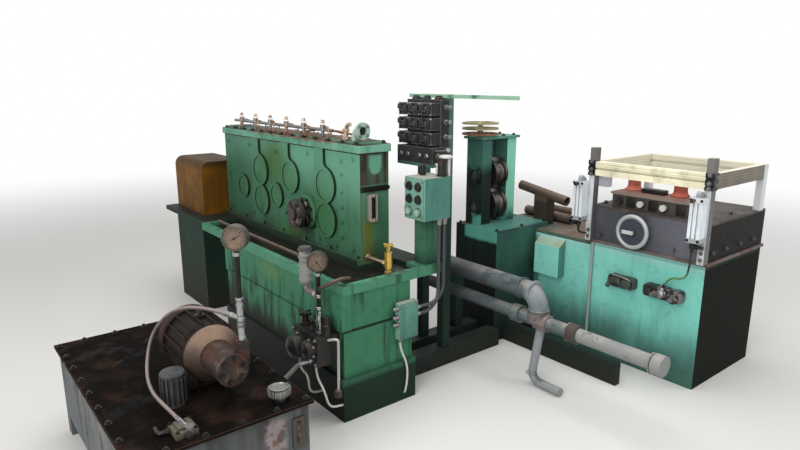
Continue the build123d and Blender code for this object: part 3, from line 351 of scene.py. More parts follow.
lid = worn_paint("lid_paint", (0.085, 0.235, 0.155), (0.15, 0.36, 0.27), runs=0.3, seed=8)
upward = lid.facing(UP).above(0.55, 0.85)
patch = lid.noise(9, 6, 3, rough=0.7).above(0.38, 0.62)
lid.cover(upward * (0.7 + patch * 0.3), (0.016, 0.016, 0.01))
lid.cover(upward * 0.6, (0.085, 0.072, 0.048), (16, 5, 12, 0.56, 0.72))
lid.cover(lid.edges(0.01) * 0.9, (0.135, 0.062, 0.03), (12, 5, 21, 0.36, 0.5))
x, z = lid.axes("XZ")
rusted = z.above(1.236, 1.246) * x.within(-0.78, 0.22, 0.1) * lid.noise(14, 5, 31).above(0.36, 0.52)
lid.cover(rusted * 0.9, (0.12, 0.058, 0.034))
lid.cover((1 - upward) * 0.35, (0.21, 0.44, 0.34), (8, 4, 33, 0.45, 0.6))
lid.give("gearbox_lid")
print("gearbox finished")

# %% [markdown]
# ## Bases, beds and cabinets
# The drive base is the same paint under more dirt: dark runs, and a lower front painted almost black as shade with
# soot.
# The right-hand cabinet and bed were painted later and are a brighter, bluer teal, clean on the front and soiled at the
# foot.

# %% Base and bed paint
base = worn_paint("base_paint", (0.039, 0.158, 0.087), (0.055, 0.207, 0.118), runs=0.9, rust=0.6, foot=(0.08, 0.24),
                  seed=11)
x, z = base.axes("XZ")
front = base.toward(FRONT)
# Painted shade with soot: the lower front of the base is near black below a slanting line.
slant = z + x * 0.14 + base.noise(4, 4, 3, (1.8, 1.8, 0.4)) * 0.42
soot_and_shade = front * slant.below(0.42, 0.56)
base.cover(soot_and_shade * 0.92, (0.01, 0.01, 0.009))
smears = front * base.noise(1, 5, 19, (11, 11, 1.5), 0.62).above(0.5, 0.6) * z.below(0.4, 0.6)
base.cover(smears * 0.8, (0.016, 0.019, 0.012))
yellowed = front * base.spot(x * 0.5, z, (-0.02, 0.6), 0.13, 0.8) * base.noise(7, 4, 23).above(0.34, 0.6)
base.cover(yellowed * 0.6, (0.11, 0.175, 0.05))
base.cover((1 - front) * z.below(0.172, 0.19) * 0.92, (0.005, 0.006, 0.005))
base.cover((1 - front) * (z + base.noise(8, 4, 27) * 0.06).below(0.215, 0.275) * 0.5, (0.012, 0.036, 0.022))
base.cover(z.within(0.432, 0.444, 0.002) * (1 - front) * 0.9, (0.012, 0.013, 0.01))
base.cover(z.below(0.2, 0.3) * x.below(0.585, 0.592) * 0.92, (0.01, 0.012, 0.01))
base.give("drive_base", "drive_bed")

tray = worn_paint("tray_paint", (0.056, 0.195, 0.115), (0.09, 0.265, 0.17), runs=0.6, seed=14)
x, y, z = tray.axes()
sunk = z.below(0.636, 0.65) * tray.toward(UP)
tray.cover(sunk, (0.01, 0.009, 0.008))
tray.cover(tray.toward(UP) * 0.8, (0.03, 0.03, 0.022), (8, 5, 2, 0.42, 0.6))
inner = y.within(-0.075, 0.4, 0.008) * x.below(0.5, 0.515) * z.above(0.56, 0.6)
tray.cover(inner * 0.9, (0.01, 0.01, 0.008))
tray.gloss = tray.gloss - sunk * 0.15
tray.give("bed_plate")

cabinet = worn_paint("cabinet_paint", (0.175, 0.52, 0.44), (0.25, 0.62, 0.54), corner_grime_and_shade=0.5, runs=0.25, rust=0.25,
                     chips=0.35, seed=17)
x, y, z = cabinet.axes()
foot_smear = (z + cabinet.noise(3, 5, 6, (1.4, 1.4, 0.6)) * 0.3).below(0.24, 0.52)
cabinet.cover(foot_smear * 0.85, (0.02, 0.04, 0.03))
# Painted shade with soil: the far right-hand faces are near black, and the near right-hand faces a darker teal.
right_side = cabinet.toward(RIGHT)
shaded_soiled_side = right_side * x.above(1.0, 1.1)
cabinet.cover(shaded_soiled_side, (0.007, 0.0085, 0.006))
cabinet.gloss = cabinet.gloss + shaded_soiled_side * 0.3
cabinet.cover(right_side * x.below(1.0, 1.1) * 0.75, (0.045, 0.15, 0.12))
shade = (x + z * 0.08).below(0.5, 0.53) * cabinet.toward(FRONT)
cabinet.cover(shade * 0.8, (0.02, 0.052, 0.042))
case_top = x.within(0.49, 0.68, 0.003) * y.below(1.352, 1.356) * z.above(0.588, 0.594)
cabinet.cover(case_top * (0.5 + cabinet.noise(16, 4, 4) * 0.6), (0.24, 0.23, 0.15))
cabinet.cover((1 - right_side) * z.above(0.59, 0.64) * 0.5, (0.31, 0.5, 0.47))
cabinet.cover(z.within(0.64, 0.652, 0.004) * 0.35, (0.05, 0.1, 0.08))
cabinet.give("station_cabinet", "bed_section")

stand = worn_paint("stand_paint", (0.045, 0.135, 0.108), (0.08, 0.23, 0.19), runs=0.8, foot=(0.12, 0.4), seed=20)
x, y, z = stand.axes()
top = stand.toward(UP)
shaded = stand.toward(FRONT)
right = stand.toward(RIGHT)
# Painted shade: the near post is painted near black below its top.
near_post = y.below(1.16, 1.19) * z.above(0.67, 0.7)
stand.cover(near_post * (z + stand.noise(9, 4, 3) * 0.12).below(1.06, 1.14) * 0.92, (0.01, 0.012, 0.011))
# Painted shade on the front faces below the deck, except one patch that is painted a lighter teal as light.
lit_patch = x.within(0.188, 0.465, 0.012) * (z + stand.noise(8, 3, 5) * 0.03).within(0.635, 0.765, 0.012)
stand.cover(shaded * z.below(0.69, 0.695) * (1 - lit_patch) * 0.94, (0.006, 0.008, 0.007))
stand.cover(shaded * lit_patch * 0.9, (0.105, 0.37, 0.29))
# Painted light: the far post's right-hand faces are a light teal.
stand.cover(right * y.above(1.26, 1.28) * z.above(0.7, 0.8) * 0.92, (0.235, 0.6, 0.445))
stand.cover(right * z.below(0.69, 0.695) * stand.noise(5, 4, 9, (1, 1, 0.5)).above(0.36, 0.6) * 0.5, (0.02, 0.05, 0.04))
stand.cover(right * (z + stand.noise(5, 4, 12) * 0.2).below(0.46, 0.68) * 0.6, (0.008, 0.016, 0.013))
stand.cover(top * z.below(0.7, 0.72) * 0.85, (0.022, 0.018, 0.014))
# Painted light: a patch of the top faces below the deck is a lit green.
stand.cover(top * x.within(0.2, 0.44, 0.03) * z.below(0.7, 0.72) * 0.6, (0.085, 0.28, 0.225))
stand.give("stand_base", "stand_posts")

frame_green = worn_paint("beam_paint", (0.014, 0.034, 0.026), runs=0.7, foot=(0.06, 0.3), seed=23)
frame_green.give("floor_beams", "pipe_stand")
post_green = worn_paint("post_paint", (0.044, 0.13, 0.08), (0.07, 0.185, 0.12), runs=0.7, seed=26)
post_z = post_green.axes("Z") + post_green.noise(6, 4, 3) * 0.1
post_green.cover(post_z.below(0.66, 0.8) * 0.85, (0.009, 0.018, 0.014))
post_green.give("control_post")
print("bases finished")

# %% [markdown]
# ## Steels, rust and oil
# Bare metal differs from paint in two ways: it mirrors the room, and its dirt lies in films. Each finish has a low
# roughness where it is worn and a high one where it is rusty or dusty.

# %% Bare and oily metal
def metal(name, ground, shine, dull, metallic=0.9, corner_dirt_and_shade=0.6, rusty=0.2, seed=1, scale=20.0):
    """A finish of metal with dirt and painted shade in its corners; shine and dull are the two ends of its roughness.
    """
    coat = Finish(name, ground)
    fine = coat.noise(scale, 6, seed, rough=0.65)
    broad = coat.noise(4, 4, seed + 5)
    coat.cover(broad.above(0.45, 0.65) * 0.4, tuple(part * 0.6 for part in ground))
    # Painted shade with dirt: corners darken where the occlusion mask finds them.
    corner = coat.crevices(0.03)
    spots = fine.above(0.5, 0.66) * broad.above(0.38, 0.6)
    coat.cover(spots * rusty, RUST)
    coat.cover(corner * corner_dirt_and_shade, DARK_GRIME_AND_SHADE)
    coat.gloss = shine + fine * (dull - shine)
    coat.relief = fine
    coat.metallic = metallic - spots * rusty * metallic
    coat.bump, coat.depth = 0.15, 0.001
    return coat


dark_steel = metal("dark_steel", (0.03, 0.03, 0.03), 0.25, 0.65, 0.6, seed=2)
dark_steel.give("wheel_boss")
saddle = metal("saddle_iron", (0.062, 0.054, 0.048), 0.4, 0.75, 0.2, 0.7, 0.3, seed=3)
saddle.cover(saddle.toward(UP) * (0.5 + saddle.noise(14, 5, 5) * 0.6), (0.2, 0.11, 0.085))
saddle.cover(saddle.axes("Z").above(0.9455, 0.9465) * saddle.toward(FRONT) * 0.8, (0.28, 0.23, 0.19))
saddle.give("saddle")
oily_hub = metal("greasy_steel", (0.05, 0.043, 0.037), 0.25, 0.65, 0.4, 0.8, 0.3, seed=4)
oily_hub.give("input_hub", bump=0.5)
roll_steel = metal("roll_steel", (0.085, 0.078, 0.07), 0.22, 0.5, 0.9, 0.6, 0.25, seed=6, scale=40.0)
roll_steel.cover(roll_steel.axes("X").within(0.166, 0.224, 0.006) * 0.7, (0.26, 0.245, 0.225))
roll_steel.give("lower_roll", "upper_roll")
filter_black = metal("filter_black", (0.022, 0.021, 0.02), 0.2, 0.6, 0.4, 0.7, 0.25, seed=8)
filter_black.give("filter_block", bump=0.5)
bright = metal("bright_metal", (0.34, 0.35, 0.35), 0.14, 0.4, 1.0, 0.7, 0.2, seed=10)
bright.cover(bright.noise(1, 3, 4, (6, 6, 55)).above(0.5, 0.6) * 0.65, (0.06, 0.06, 0.058))
bright.give("filler_cap")
sight = metal("sight_frame", (0.34, 0.32, 0.26), 0.3, 0.55, 0.3, 0.7, 0.2, seed=11)
y, z = sight.axes("YZ")
sight.cover(y.within(0.12, 0.146, 0.003) * z.within(0.886, 0.994, 0.004), (0.02, 0.01, 0.008))
sight.give("sight_glass")
cylinder = metal("cylinder_skin", (0.74, 0.79, 0.83), 0.3, 0.5, 0.1, 0.6, 0.02, seed=13)
z = cylinder.axes("Z")
cylinder.cover(z.below(0.8135, 0.8145).top(z.above(1.0115, 1.0125)) * 0.8, (0.22, 0.23, 0.24))
cylinder.cover(cylinder.noise(1, 4, 4, (60, 60, 5)).above(0.56, 0.66) * 0.5, (0.2, 0.2, 0.2))
cylinder.give("side_cylinders", bump=0.05)
pale_steel = metal("pale_metal", (0.52, 0.51, 0.48), 0.3, 0.5, 0.2, 0.5, 0.05, seed=15)
pale_steel.give()
brass = metal("old_brass", (0.6, 0.42, 0.1), 0.2, 0.5, 0.9, 0.6, 0.1, seed=12)
brass.cover(brass.axes("X").below(0.55, 0.556) * 0.8, (0.42, 0.31, 0.27))
brass.give("drain_valve")
pump_gauge, line_gauge = (0.855, -0.78), (0.56, -0.28)
line_steel = metal("line_steel", (0.23, 0.23, 0.22), 0.25, 0.6, 0.8, 0.6, 0.4, seed=14)
x, y, z = line_steel.axes()
line_steel.cover((line_steel.spot(x, y, pump_gauge, 0.022, 0.1) * z.above(0.8, 0.806)).top(
    line_steel.spot(x, y, line_gauge, 0.02, 0.1) * z.above(0.56, 0.566)), (0.02, 0.02, 0.019))
line_steel.give("hydraulic_lines", "lube_rail")
dusty_block = metal("dusty_block", (0.085, 0.076, 0.05), 0.5, 0.8, 0.1, 0.8, 0.4, seed=72)
dusty_block.give()
gauge_rim = metal("gauge_rim", (0.07, 0.066, 0.052), 0.3, 0.6, 0.5, 0.6, 0.3, seed=16)
gauge_rim.give("pressure_gauges")
ribbed = metal("ribbed_silver", (0.27, 0.275, 0.26), 0.35, 0.55, 0.2, 0.9, 0.1, seed=17)
ribbed.cover(ribbed.noise(1, 3, 4, (8, 8, 70)).above(0.52, 0.62) * 0.7, (0.09, 0.085, 0.08))
ribbed.cover(ribbed.axes("Z").below(0.64, 0.655) * 0.75, (0.125, 0.085, 0.074))
ribbed.cover(ribbed.axes("Z").above(0.8, 0.803) * 0.8, (0.03, 0.03, 0.028))
ribbed.give("ribbed_riser")

rusty = metal("rusty_steel", (0.075, 0.052, 0.04), 0.55, 0.9, 0.2, 0.7, 0.6, seed=18)
x, y, z = rusty.axes()
# Painted highlight: upward faces are paler in patches.
rusty.cover(rusty.facing(UP).above(0.3, 0.9) * 0.6, (0.19, 0.145, 0.112), (16, 5, 4, 0.32, 0.56))
block = x.within(0.328, 0.432) * y.within(1.47, 1.554)
rusty.cover(block * z.below(0.8, 0.815) * 0.8, (0.026, 0.02, 0.015))
rusty.give("tube_offcuts", bump=0.5)

wheel = metal("wheel_metal", (0.05, 0.058, 0.075), 0.3, 0.6, 0.2, 0.5, 0.1, seed=20)
wheel_x, wheel_z = 1.129, 0.776
x, y, z = wheel.axes()
from_axis = ((x - wheel_x) ** 2 + (z - wheel_z) ** 2) ** 0.5
wheel.cover(from_axis.above(0.07, 0.073), (0.38, 0.4, 0.4))
wheel.cover(y.below(1.272, 1.275), (0.52, 0.53, 0.52))
wheel.give("handwheel", bump=0.1)
print("finishes so far:", len(bpy.data.materials))

# %% [markdown]
# ## The roll head
# The head is dark slate machine paint under dust. Its flange and deck are bare plate with a skin of rust.

# %% Roll head finishes
slate = worn_paint("slate_paint", (0.066, 0.068, 0.08), (0.125, 0.126, 0.146), runs=0.4, rust=0.15, chips=0.4, seed=30)
x = slate.axes("X")
slate.cover(x.below(0.98, 1.24) * 0.25, (0.034, 0.035, 0.042))
slate.cover(x.above(1.1, 1.42) * 0.4, (0.15, 0.15, 0.176))
# Painted shade: the right-hand faces of the head are near black.
slate.cover(slate.toward(RIGHT), (0.006, 0.005, 0.0045))
slate.give("roll_head")

deck = metal("deck_plate", (0.08, 0.073, 0.068), 0.5, 0.85, 0.15, 0.8, 0.45, seed=32)
z = deck.axes("Z")
flange = z.below(0.7, 0.72)
deck.cover(flange * 0.9, (0.115, 0.055, 0.04), (6, 5, 3, 0.36, 0.6))
deck.cover(flange * 0.8, (0.05, 0.08, 0.075), (11, 5, 7, 0.52, 0.66))
deck.cover(flange * 0.7, (0.17, 0.14, 0.14), (7, 5, 27, 0.4, 0.58))
deck.cover((1 - flange) * 0.8, (0.055, 0.042, 0.034), (5, 5, 13, 0.42, 0.6))
deck.cover((1 - flange) * 0.5, (0.16, 0.13, 0.105), (13, 5, 17, 0.56, 0.68))
deck.give("head_plates", bump=0.3)

bed_skin = metal("bed_top_plate", (0.1, 0.115, 0.095), 0.5, 0.85, 0.3, 0.8, 0.6, seed=34)
x, z = bed_skin.axes("XZ")
bed_skin.cover((x + bed_skin.noise(5, 4, 7) * 0.3).above(0.55, 0.8) * 0.7, (0.205, 0.125, 0.095))
bed_skin.cover(0.6, (0.075, 0.055, 0.035), (7, 5, 9, 0.46, 0.62))
edge_side, bed_foot = bed_skin.toward(FRONT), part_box("bed_top")[0].z
bed_skin.cover(edge_side * 0.9, (0.075, 0.135, 0.075))
bed_skin.cover(edge_side * z.below(bed_foot + 0.003, bed_foot + 0.006), (0.01, 0.012, 0.01))
bed_skin.give("bed_top", bump=0.3)

knob = metal("knob_metal", (0.6, 0.6, 0.57), 0.25, 0.5, 0.2, 0.5, 0.1, seed=36)
x = knob.axes("X")
knob.cover(x.below(1.05, 1.06), (0.03, 0.03, 0.032))
knob.give("saddle_knobs")

orange = worn_paint("adjuster_paint", (0.37, 0.09, 0.06), (0.46, 0.19, 0.15), corner_grime_and_shade=0.8, runs=0.7, seed=38)
orange.give("clamp_blocks")

profile = metal("profile_metal", (0.93, 0.87, 0.63), 0.3, 0.5, 0.15, 0.6, 0.05, seed=40)
x, y, z = profile.axes()
upright = profile.facing(UP).below(0.3, 0.8)
outer = profile.toward(RIGHT) * x.above(1.44, 1.45)
profile.cover(y.above(1.356, 1.362) * 0.55, (0.6, 0.57, 0.5))
profile.cover(outer * (0.8 + profile.noise(12, 4, 8) * 0.2), (0.058, 0.044, 0.028))
for low_line in (1.078, 1.094, 1.107):
    profile.cover(z.within(low_line, low_line + 0.0035, 0.0006) * upright * 0.45, (0.3, 0.25, 0.15))
profile.cover(0.35, (0.26, 0.22, 0.15), (9, 5, 5, 0.56, 0.7))
plate = x.below(0.926, 0.93) * z.below(1.044, 1.047)
profile.cover(plate, (0.44, 0.45, 0.49))
profile.give("frame_bars")

post_skin = metal("post_silver", (0.6, 0.62, 0.63), 0.28, 0.5, 0.25, 0.6, 0.04, seed=41)
y, z = post_skin.axes("YZ")
at_front = y.below(1.4, 1.41)
post_skin.cover(at_front * post_skin.toward(RIGHT) * 0.85, (0.04, 0.042, 0.045))
post_skin.cover(at_front * z.above(1.1275, 1.1285) * 0.85, (0.11, 0.1, 0.085))
post_skin.cover(at_front * z.within(1.044, 1.128, 0.0008), (0.012, 0.013, 0.02))
post_skin.cover(at_front * post_skin.noise(1, 4, 3, (50, 50, 6)).above(0.56, 0.64) * 0.4, (0.16, 0.15, 0.14))
post_skin.give("frame_posts", bump=0.05)
print("roll head finished")

# %% [markdown]
# ## Pipes, boxes and the valve rack
# The coolant pipes are grey under dust, with a reddish coupling. The valve stack is nearly black with worn light
# edges, and the box of push buttons has a dusty top.

# %% Pipe, box and valve finishes
pipe = worn_paint("pipe_paint", (0.086, 0.112, 0.118), (0.18, 0.205, 0.202), corner_grime_and_shade=0.8, runs=0.2, rust=0.3, seed=42)
x, z = pipe.axes("XZ")
dust = pipe.facing(UP).above(0.2, 0.9)
pipe.cover(dust * 0.7, (0.3, 0.28, 0.25), (10, 5, 4, 0.35, 0.6))
# Painted shade: the lower sides of the pipes are darker.
pipe.cover(pipe.facing(UP).below(-0.7, 0.1) * 0.6, (0.035, 0.035, 0.033))
low_run = z.below(0.412, 0.418)
pipe.cover(low_run * x.above(1.205, 1.215) * 0.5, (0.36, 0.35, 0.33))
pipe.cover(low_run * x.within(0.95, 1.031, 0.003) * z.above(0.3, 0.335) * 0.45, (0.22, 0.13, 0.11))
pipe.cover(z.below(0.3, 0.335) * 0.7, (0.29, 0.3, 0.315), (7, 3, 8, 0.3, 0.5))
pipe.cover(pipe.noise(9, 5, 21, rough=0.7).above(0.56, 0.66) * 0.6, (0.04, 0.042, 0.046))
elbow = (1 - low_run) * x.above(0.88, 0.93) * (0.25 + pipe.noise(11, 5, 6).above(0.36, 0.62) * 0.55)
pipe.cover(elbow, (0.26, 0.275, 0.3))
pipe.cover(low_run * x.within(1.155, 1.205, 0.002) * 0.9, (0.06, 0.04, 0.036))
pipe.cover((1 - low_run) * x.below(0.45, 0.75) * 0.6, (0.06, 0.055, 0.062))
pipe.cover(low_run * x.below(0.35, 0.6) * 0.5, (0.07, 0.066, 0.07))
pipe.give("coolant_main", "coolant_feed", "coolant_branch")

box_green = worn_paint("box_paint", (0.066, 0.185, 0.148), (0.115, 0.27, 0.22), corner_grime_and_shade=0.6, runs=0.3, rust=0.1, seed=44)
box_green.cover(box_green.facing(UP).above(0.4, 0.8) * 0.8, (0.34, 0.34, 0.28))
# Painted light: the front faces of both boxes are a lighter teal.
box_green.cover(box_green.facing(FRONT).above(0.4, 0.8) * 0.6, (0.2, 0.37, 0.29))
box_green.give("control_box", "junction_box")
vent = worn_paint("vent_paint", (0.27, 0.39, 0.31), (0.42, 0.52, 0.45), runs=0.3, seed=45)
x, y, z = vent.axes()
vent.cover(vent.spot(y, z, (0.108, 1.314), 0.0205, 0.1) * x.above(0.36, 0.362), (0.01, 0.022, 0.016))
vent.give("vent_pipe")

buttons = metal("button_plastic", (0.012, 0.012, 0.012), 0.25, 0.45, 0.0, 0.2, 0.0, seed=46)
z = buttons.axes("Z")
buttons.cover(z.below(0.965, 0.97), (0.14, 0.3, 0.23))
buttons.give("push_buttons", bump=0.05)

stack = worn_paint("valve_black", (0.025, 0.024, 0.027), (0.06, 0.06, 0.06), corner_grime_and_shade=0.7, runs=0.3, rust=0.1, chips=0.0,
                   seed=48)
stack.cover(stack.edges(0.005) * 0.8, (0.24, 0.24, 0.23), (20, 4, 6, 0.35, 0.55))
stack.cover(stack.toward(UP) * 0.55, (0.17, 0.165, 0.15))
stack.give("valve_manifold", "solenoid_valves")

rack = worn_paint("rack_paint", (0.05, 0.12, 0.085), runs=0.5, seed=50)
z = rack.axes("Z")
rack.cover((z + rack.noise(6, 3, 8) * 0.2).below(0.92, 1.1) * 0.85, (0.012, 0.016, 0.013))
rack.cover(z.above(1.462, 1.466) * 0.85, (0.28, 0.46, 0.33), (12, 4, 3, 0.3, 0.5))
rack.give("rack_frame")

cap = worn_paint("stand_cap_paint", (0.085, 0.235, 0.165), runs=0.4, seed=52)
z = cap.axes("Z")
ring = z.above(1.2245, 1.2255)
cap.cover(ring * 0.95, (0.33, 0.285, 0.165))
cap.cover(ring * z.below(1.25, 1.254) * 0.8, (0.19, 0.06, 0.04))
cap.cover(ring * 0.7, (0.075, 0.07, 0.04), (20, 5, 4, 0.5, 0.64))
cap.give("stand_cap")

socket = metal("socket_black", (0.028, 0.028, 0.028), 0.35, 0.6, 0.2, 0.5, 0.05, seed=54)
x = socket.axes("X")
socket.cover(x.above(1.28, 1.3) * 0.8, (0.24, 0.22, 0.225), (45, 4, 4, 0.46, 0.56))
socket.cover(x.within(0.95, 1.17) * 0.7, (0.085, 0.1, 0.078), (30, 4, 6, 0.4, 0.55))
socket.give("socket_boxes")

rubber = metal("conduit_rubber", (0.048, 0.05, 0.052), 0.3, 0.55, 0.0, 0.5, 0.0, seed=56)
y = rubber.axes("Y")
rubber.cover(y.above(1.2, 1.22) * 0.9, (0.27, 0.34, 0.31))
rubber.give("conduits")
print("pipes and boxes finished")

# %% [markdown]
# ## The side table and the power unit
# The table top is rust-brown and its guard is dusty orange. The tank is blue-grey with long oil stains, and its lid
# is black and wet. Wetness is a low roughness in patches.

# %% Table and power unit finishes
table = worn_paint("table_paint", (0.008, 0.024, 0.016), (0.013, 0.042, 0.028), runs=0.9, foot=(0.1, 0.5), seed=60)
table.cover(table.toward(UP) * (0.5 + table.noise(10, 5, 8) * 0.6), (0.014, 0.015, 0.011))
table.give("side_table")

guard = worn_paint("guard_paint", (0.15, 0.06, 0.004), (0.21, 0.092, 0.006), corner_grime_and_shade=0.8, runs=0.8, rust=0.1, seed=62)
z = guard.axes("Z")
guard.cover(guard.noise(5, 5, 4, (1, 1, 0.6)).above(0.4, 0.6) * 0.7, (0.068, 0.03, 0.004))
# Painted shadow: the top of the guard is dark.
guard.cover((z + guard.noise(4, 4, 9) * 0.08).above(0.985, 1.045) * 0.8, (0.026, 0.015, 0.006))
guard.give("side_guard")

tank_coat = worn_paint("tank_paint", (0.096, 0.108, 0.114), (0.18, 0.18, 0.165), corner_grime_and_shade=0.9, runs=0.9, rust=0.5, seed=64)
x, y, z = tank_coat.axes()
spill = tank_coat.noise(1, 5, 5, (9, 9, 1.6)).above(0.44, 0.6) * z.above(0.1, 0.42)
tank_coat.cover(spill * 0.85, (0.02, 0.017, 0.014))
pale = tank_coat.spot(x + y, z, (-0.5, 0.25), 0.3, 0.6) * tank_coat.noise(8, 4, 9).above(0.4, 0.6)
tank_coat.cover(pale * 0.5, (0.24, 0.22, 0.18))
tank_coat.cover(z.above(0.385, 0.4) * 0.6, (0.03, 0.02, 0.015))
end = tank_coat.toward(RIGHT)
tank_coat.cover(end * 0.6, (0.052, 0.056, 0.058), (6, 4, 19, 0.4, 0.6))
patch = end * y.within(-0.785, -0.7, 0.012) * z.within(0.25, 0.372, 0.012)
tank_coat.cover(patch * 0.9, (0.235, 0.205, 0.205), (26, 5, 21, 0.4, 0.55))
tank_coat.cover(patch * 0.8, (0.12, 0.06, 0.045), (34, 5, 24, 0.5, 0.6))
tank_coat.give("tank", "tank_legs")

oily = Finish("oily_lid", (0.0045, 0.0038, 0.0032), 0.02)
film = oily.noise(7, 5, 2)
grit = oily.noise(40, 5, 6, rough=0.7)
oily.cover(film.above(0.48, 0.64) * 0.6, (0.016, 0.01, 0.008))
oily.cover(0.6, (0.028, 0.014, 0.01), (5, 4, 14, 0.54, 0.66))
oily.cover(grit.above(0.62, 0.72) * 0.4, (0.08, 0.055, 0.04))
oily.cover(oily.edges(0.006) * 0.7, (0.075, 0.044, 0.03))
oily.done(0.28 + film.above(0.34, 0.5) * 0.45 + grit * 0.1, 0.0, grit + film * 2, 0.3, 0.002)
oily.put_on("tank_lid")

motor = worn_paint("motor_paint", (0.012, 0.01, 0.009), (0.028, 0.023, 0.019), corner_grime_and_shade=0.9, rust=0.5, seed=66,
                   specular=0.05)
x = motor.axes("X")
cowl = x.below(0.505, 0.508)
motor.cover((1 - cowl) * 0.5, (0.018, 0.014, 0.012), (40, 3, 9, 0.44, 0.56))
motor.cover(cowl * 0.8, (0.08, 0.032, 0.026), (9, 5, 3, 0.3, 0.55))
motor.cover(cowl * x.below(0.438, 0.456) * 0.5, (0.15, 0.11, 0.095))
motor.give("pump_motor")

pump = metal("pump_iron", (0.026, 0.022, 0.019), 0.35, 0.7, 0.3, 0.7, 0.4, seed=68)
x, z = pump.axes("XZ")
bell = x.below(0.742, 0.746)
pump.cover((1 - bell) * 0.8, (0.07, 0.024, 0.016), (18, 5, 7, 0.46, 0.6))
pump.cover((1 - bell) * 0.5, (0.12, 0.085, 0.068), (24, 5, 11, 0.58, 0.68))
pump.cover(bell * (0.6 + pump.noise(14, 4, 5) * 0.5), (0.23, 0.15, 0.104))
# Painted shade: the bellhousing is dark below its lit top.
pump.cover(bell * (z + pump.noise(9, 4, 9) * 0.06).below(0.6, 0.68) * 0.85, (0.034, 0.024, 0.019))
pump.give("oil_pump", bump=0.3)
small_grey = worn_paint("small_motor_paint", (0.042, 0.044, 0.046), (0.1, 0.1, 0.1), corner_grime_and_shade=0.9, seed=70)
small_grey.give("circulation_motor")

hose_rubber = Finish("hose_rubber", (0.105, 0.082, 0.074))
hose_rubber.cover(0.6, (0.045, 0.036, 0.033), (25, 4, 3, 0.45, 0.65))
# Painted highlight: faces turned up and towards the front are paler.
hose_rubber.cover(hose_rubber.facing((0.4, -0.3, 0.86)).above(0.4, 0.95) * 0.75, (0.235, 0.192, 0.182))
hose_rubber.done(0.45, 0.0, hose_rubber.noise(300, 2), 0.1, 0.0005)
air_green = Finish("air_hose_green", (0.1, 0.2, 0.06))
air_green.cover(air_green.axes("Z").above(0.6, 0.66), (0.02, 0.03, 0.03))
air_green.done(0.4, 0.0, air_green.noise(300, 2), 0.1, 0.0005)
return_line.data.materials.append(hose_rubber.material)
air_line.data.materials.append(air_green.material)
print("power unit finished")

# %% [markdown]
# ## Shapes from mesh code
# Small fittings are turned on a lathe, cut from bar or bent from tube, so three helpers follow the same trades: one
# turns a profile about an axis, one makes a block with broken edges, and one draws a tube along a smooth path. All
# forms of one finish go into one mesh, and its normals are worked out once at the end. Places are in metres, and the
# profiles of turned forms are in millimetres, as on a workshop drawing.

# %% Mesh helpers
class Shape:
    """A piece that is put together from turned, cut and bent forms."""

    def __init__(self):
        self.mesh = bmesh.new()

    def skin(self, rings):
        """Join rings of places into one closed skin."""
        rings = [[self.mesh.verts.new(place) for place in ring] for ring in rings]
        for low, high in zip(rings, rings[1:]):
            for number in range(len(low)):
                after = (number + 1) % len(low)
                self.mesh.faces.new((low[number], low[after], high[after], high[number]))
        self.mesh.faces.new(rings[0][::-1])
        self.mesh.faces.new(rings[-1])

    def turned(self, profile, origin, axis=UP, sides=24):
        """Turn (radius, height) pairs, in millimetres, about an axis."""
        spin = Vector(axis).normalized().to_track_quat("Z", "Y").to_matrix()
        turns = [math.tau * number / sides for number in range(sides)]
        self.skin([[Vector(origin) + spin @ (Vector((radius * math.cos(turn), radius * math.sin(turn), height)) / 1000)
                    for turn in turns] for radius, height in profile])

    def block(self, low, high, broken=0.0015, turn=None):
        """A block between two corners with broken edges."""
        low, high = Vector(low), Vector(high)
        made = bmesh.ops.create_cube(self.mesh, size=1)["verts"]
        for vert in made:
            vert.co = Vector(part * size for part, size in zip(vert.co, high - low))
            if turn:
                vert.co = turn @ vert.co
            vert.co += (low + high) / 2
        edges = list({edge for vert in made for edge in vert.link_edges})
        if broken:
            bmesh.ops.bevel(self.mesh, geom=edges, offset=broken, segments=2, affect="EDGES", profile=0.6)

    def tube(self, points, radius, sides=12, steps=6):
        """A bent tube: a smooth line through the middles of the runs, with closed ends."""
        points = [Vector(point) for point in points]
        line = [points[0]]
        for before, corner, after in zip(points, points[1:], points[2:]):
            start, end = (before + corner) / 2, (corner + after) / 2
            line += [start.lerp(corner, t).lerp(corner.lerp(end, t), t)
                     for t in (number / steps for number in range(steps + 1))]
        line.append(points[-1])
        side = Vector((0.31, 0.42, 0.86))
        rings = []
        for number, place in enumerate(line):
            way = line[min(number + 1, len(line) - 1)] - line[max(number - 1, 0)]
            side = (side - side.project(way)).normalized()
            other = way.cross(side).normalized()
            rings.append([place + (side * math.cos(turn) + other * math.sin(turn)) * radius
                          for turn in (math.tau * count / sides for count in range(sides))])
        self.skin(rings)

    def done(self, name, finish, slot="dark_steel", body="mill_frame"):
        """Close the piece: outward normals, sharp edges, a finish and a body."""
        bmesh.ops.recalc_face_normals(self.mesh, faces=self.mesh.faces)
        data = bpy.data.meshes.new(name)
        self.mesh.to_mesh(data)
        self.mesh.free()
        place_piece(name, data, finish, body)


def place_piece(name, data, finish, body="mill_frame"):
    """Give a mesh smooth shading, its finish and its body."""
    data.shade_smooth()
    data.set_sharp_from_angle(angle=math.radians(32))
    data.materials.clear()
    data.materials.append(finish.material)
    piece = bpy.data.objects.new(name, data)
    collection.objects.link(piece)
    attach(piece, body)
    print(name, "faces:", len(data.polygons))


print("mesh helpers ready")

# %% [markdown]
# ## Bolts by Geometry Nodes
# A machine like this has hundreds of hexagon bolts. They all share one rule: a washer and a six-sided head that
# stand on a point and look along its direction, each turned by a random angle. Geometry Nodes put such a bolt on
# every point of a bare point mesh. Its sizes are named inputs of the tree, and the instances become real mesh at
# the end, because an export keeps only real mesh.

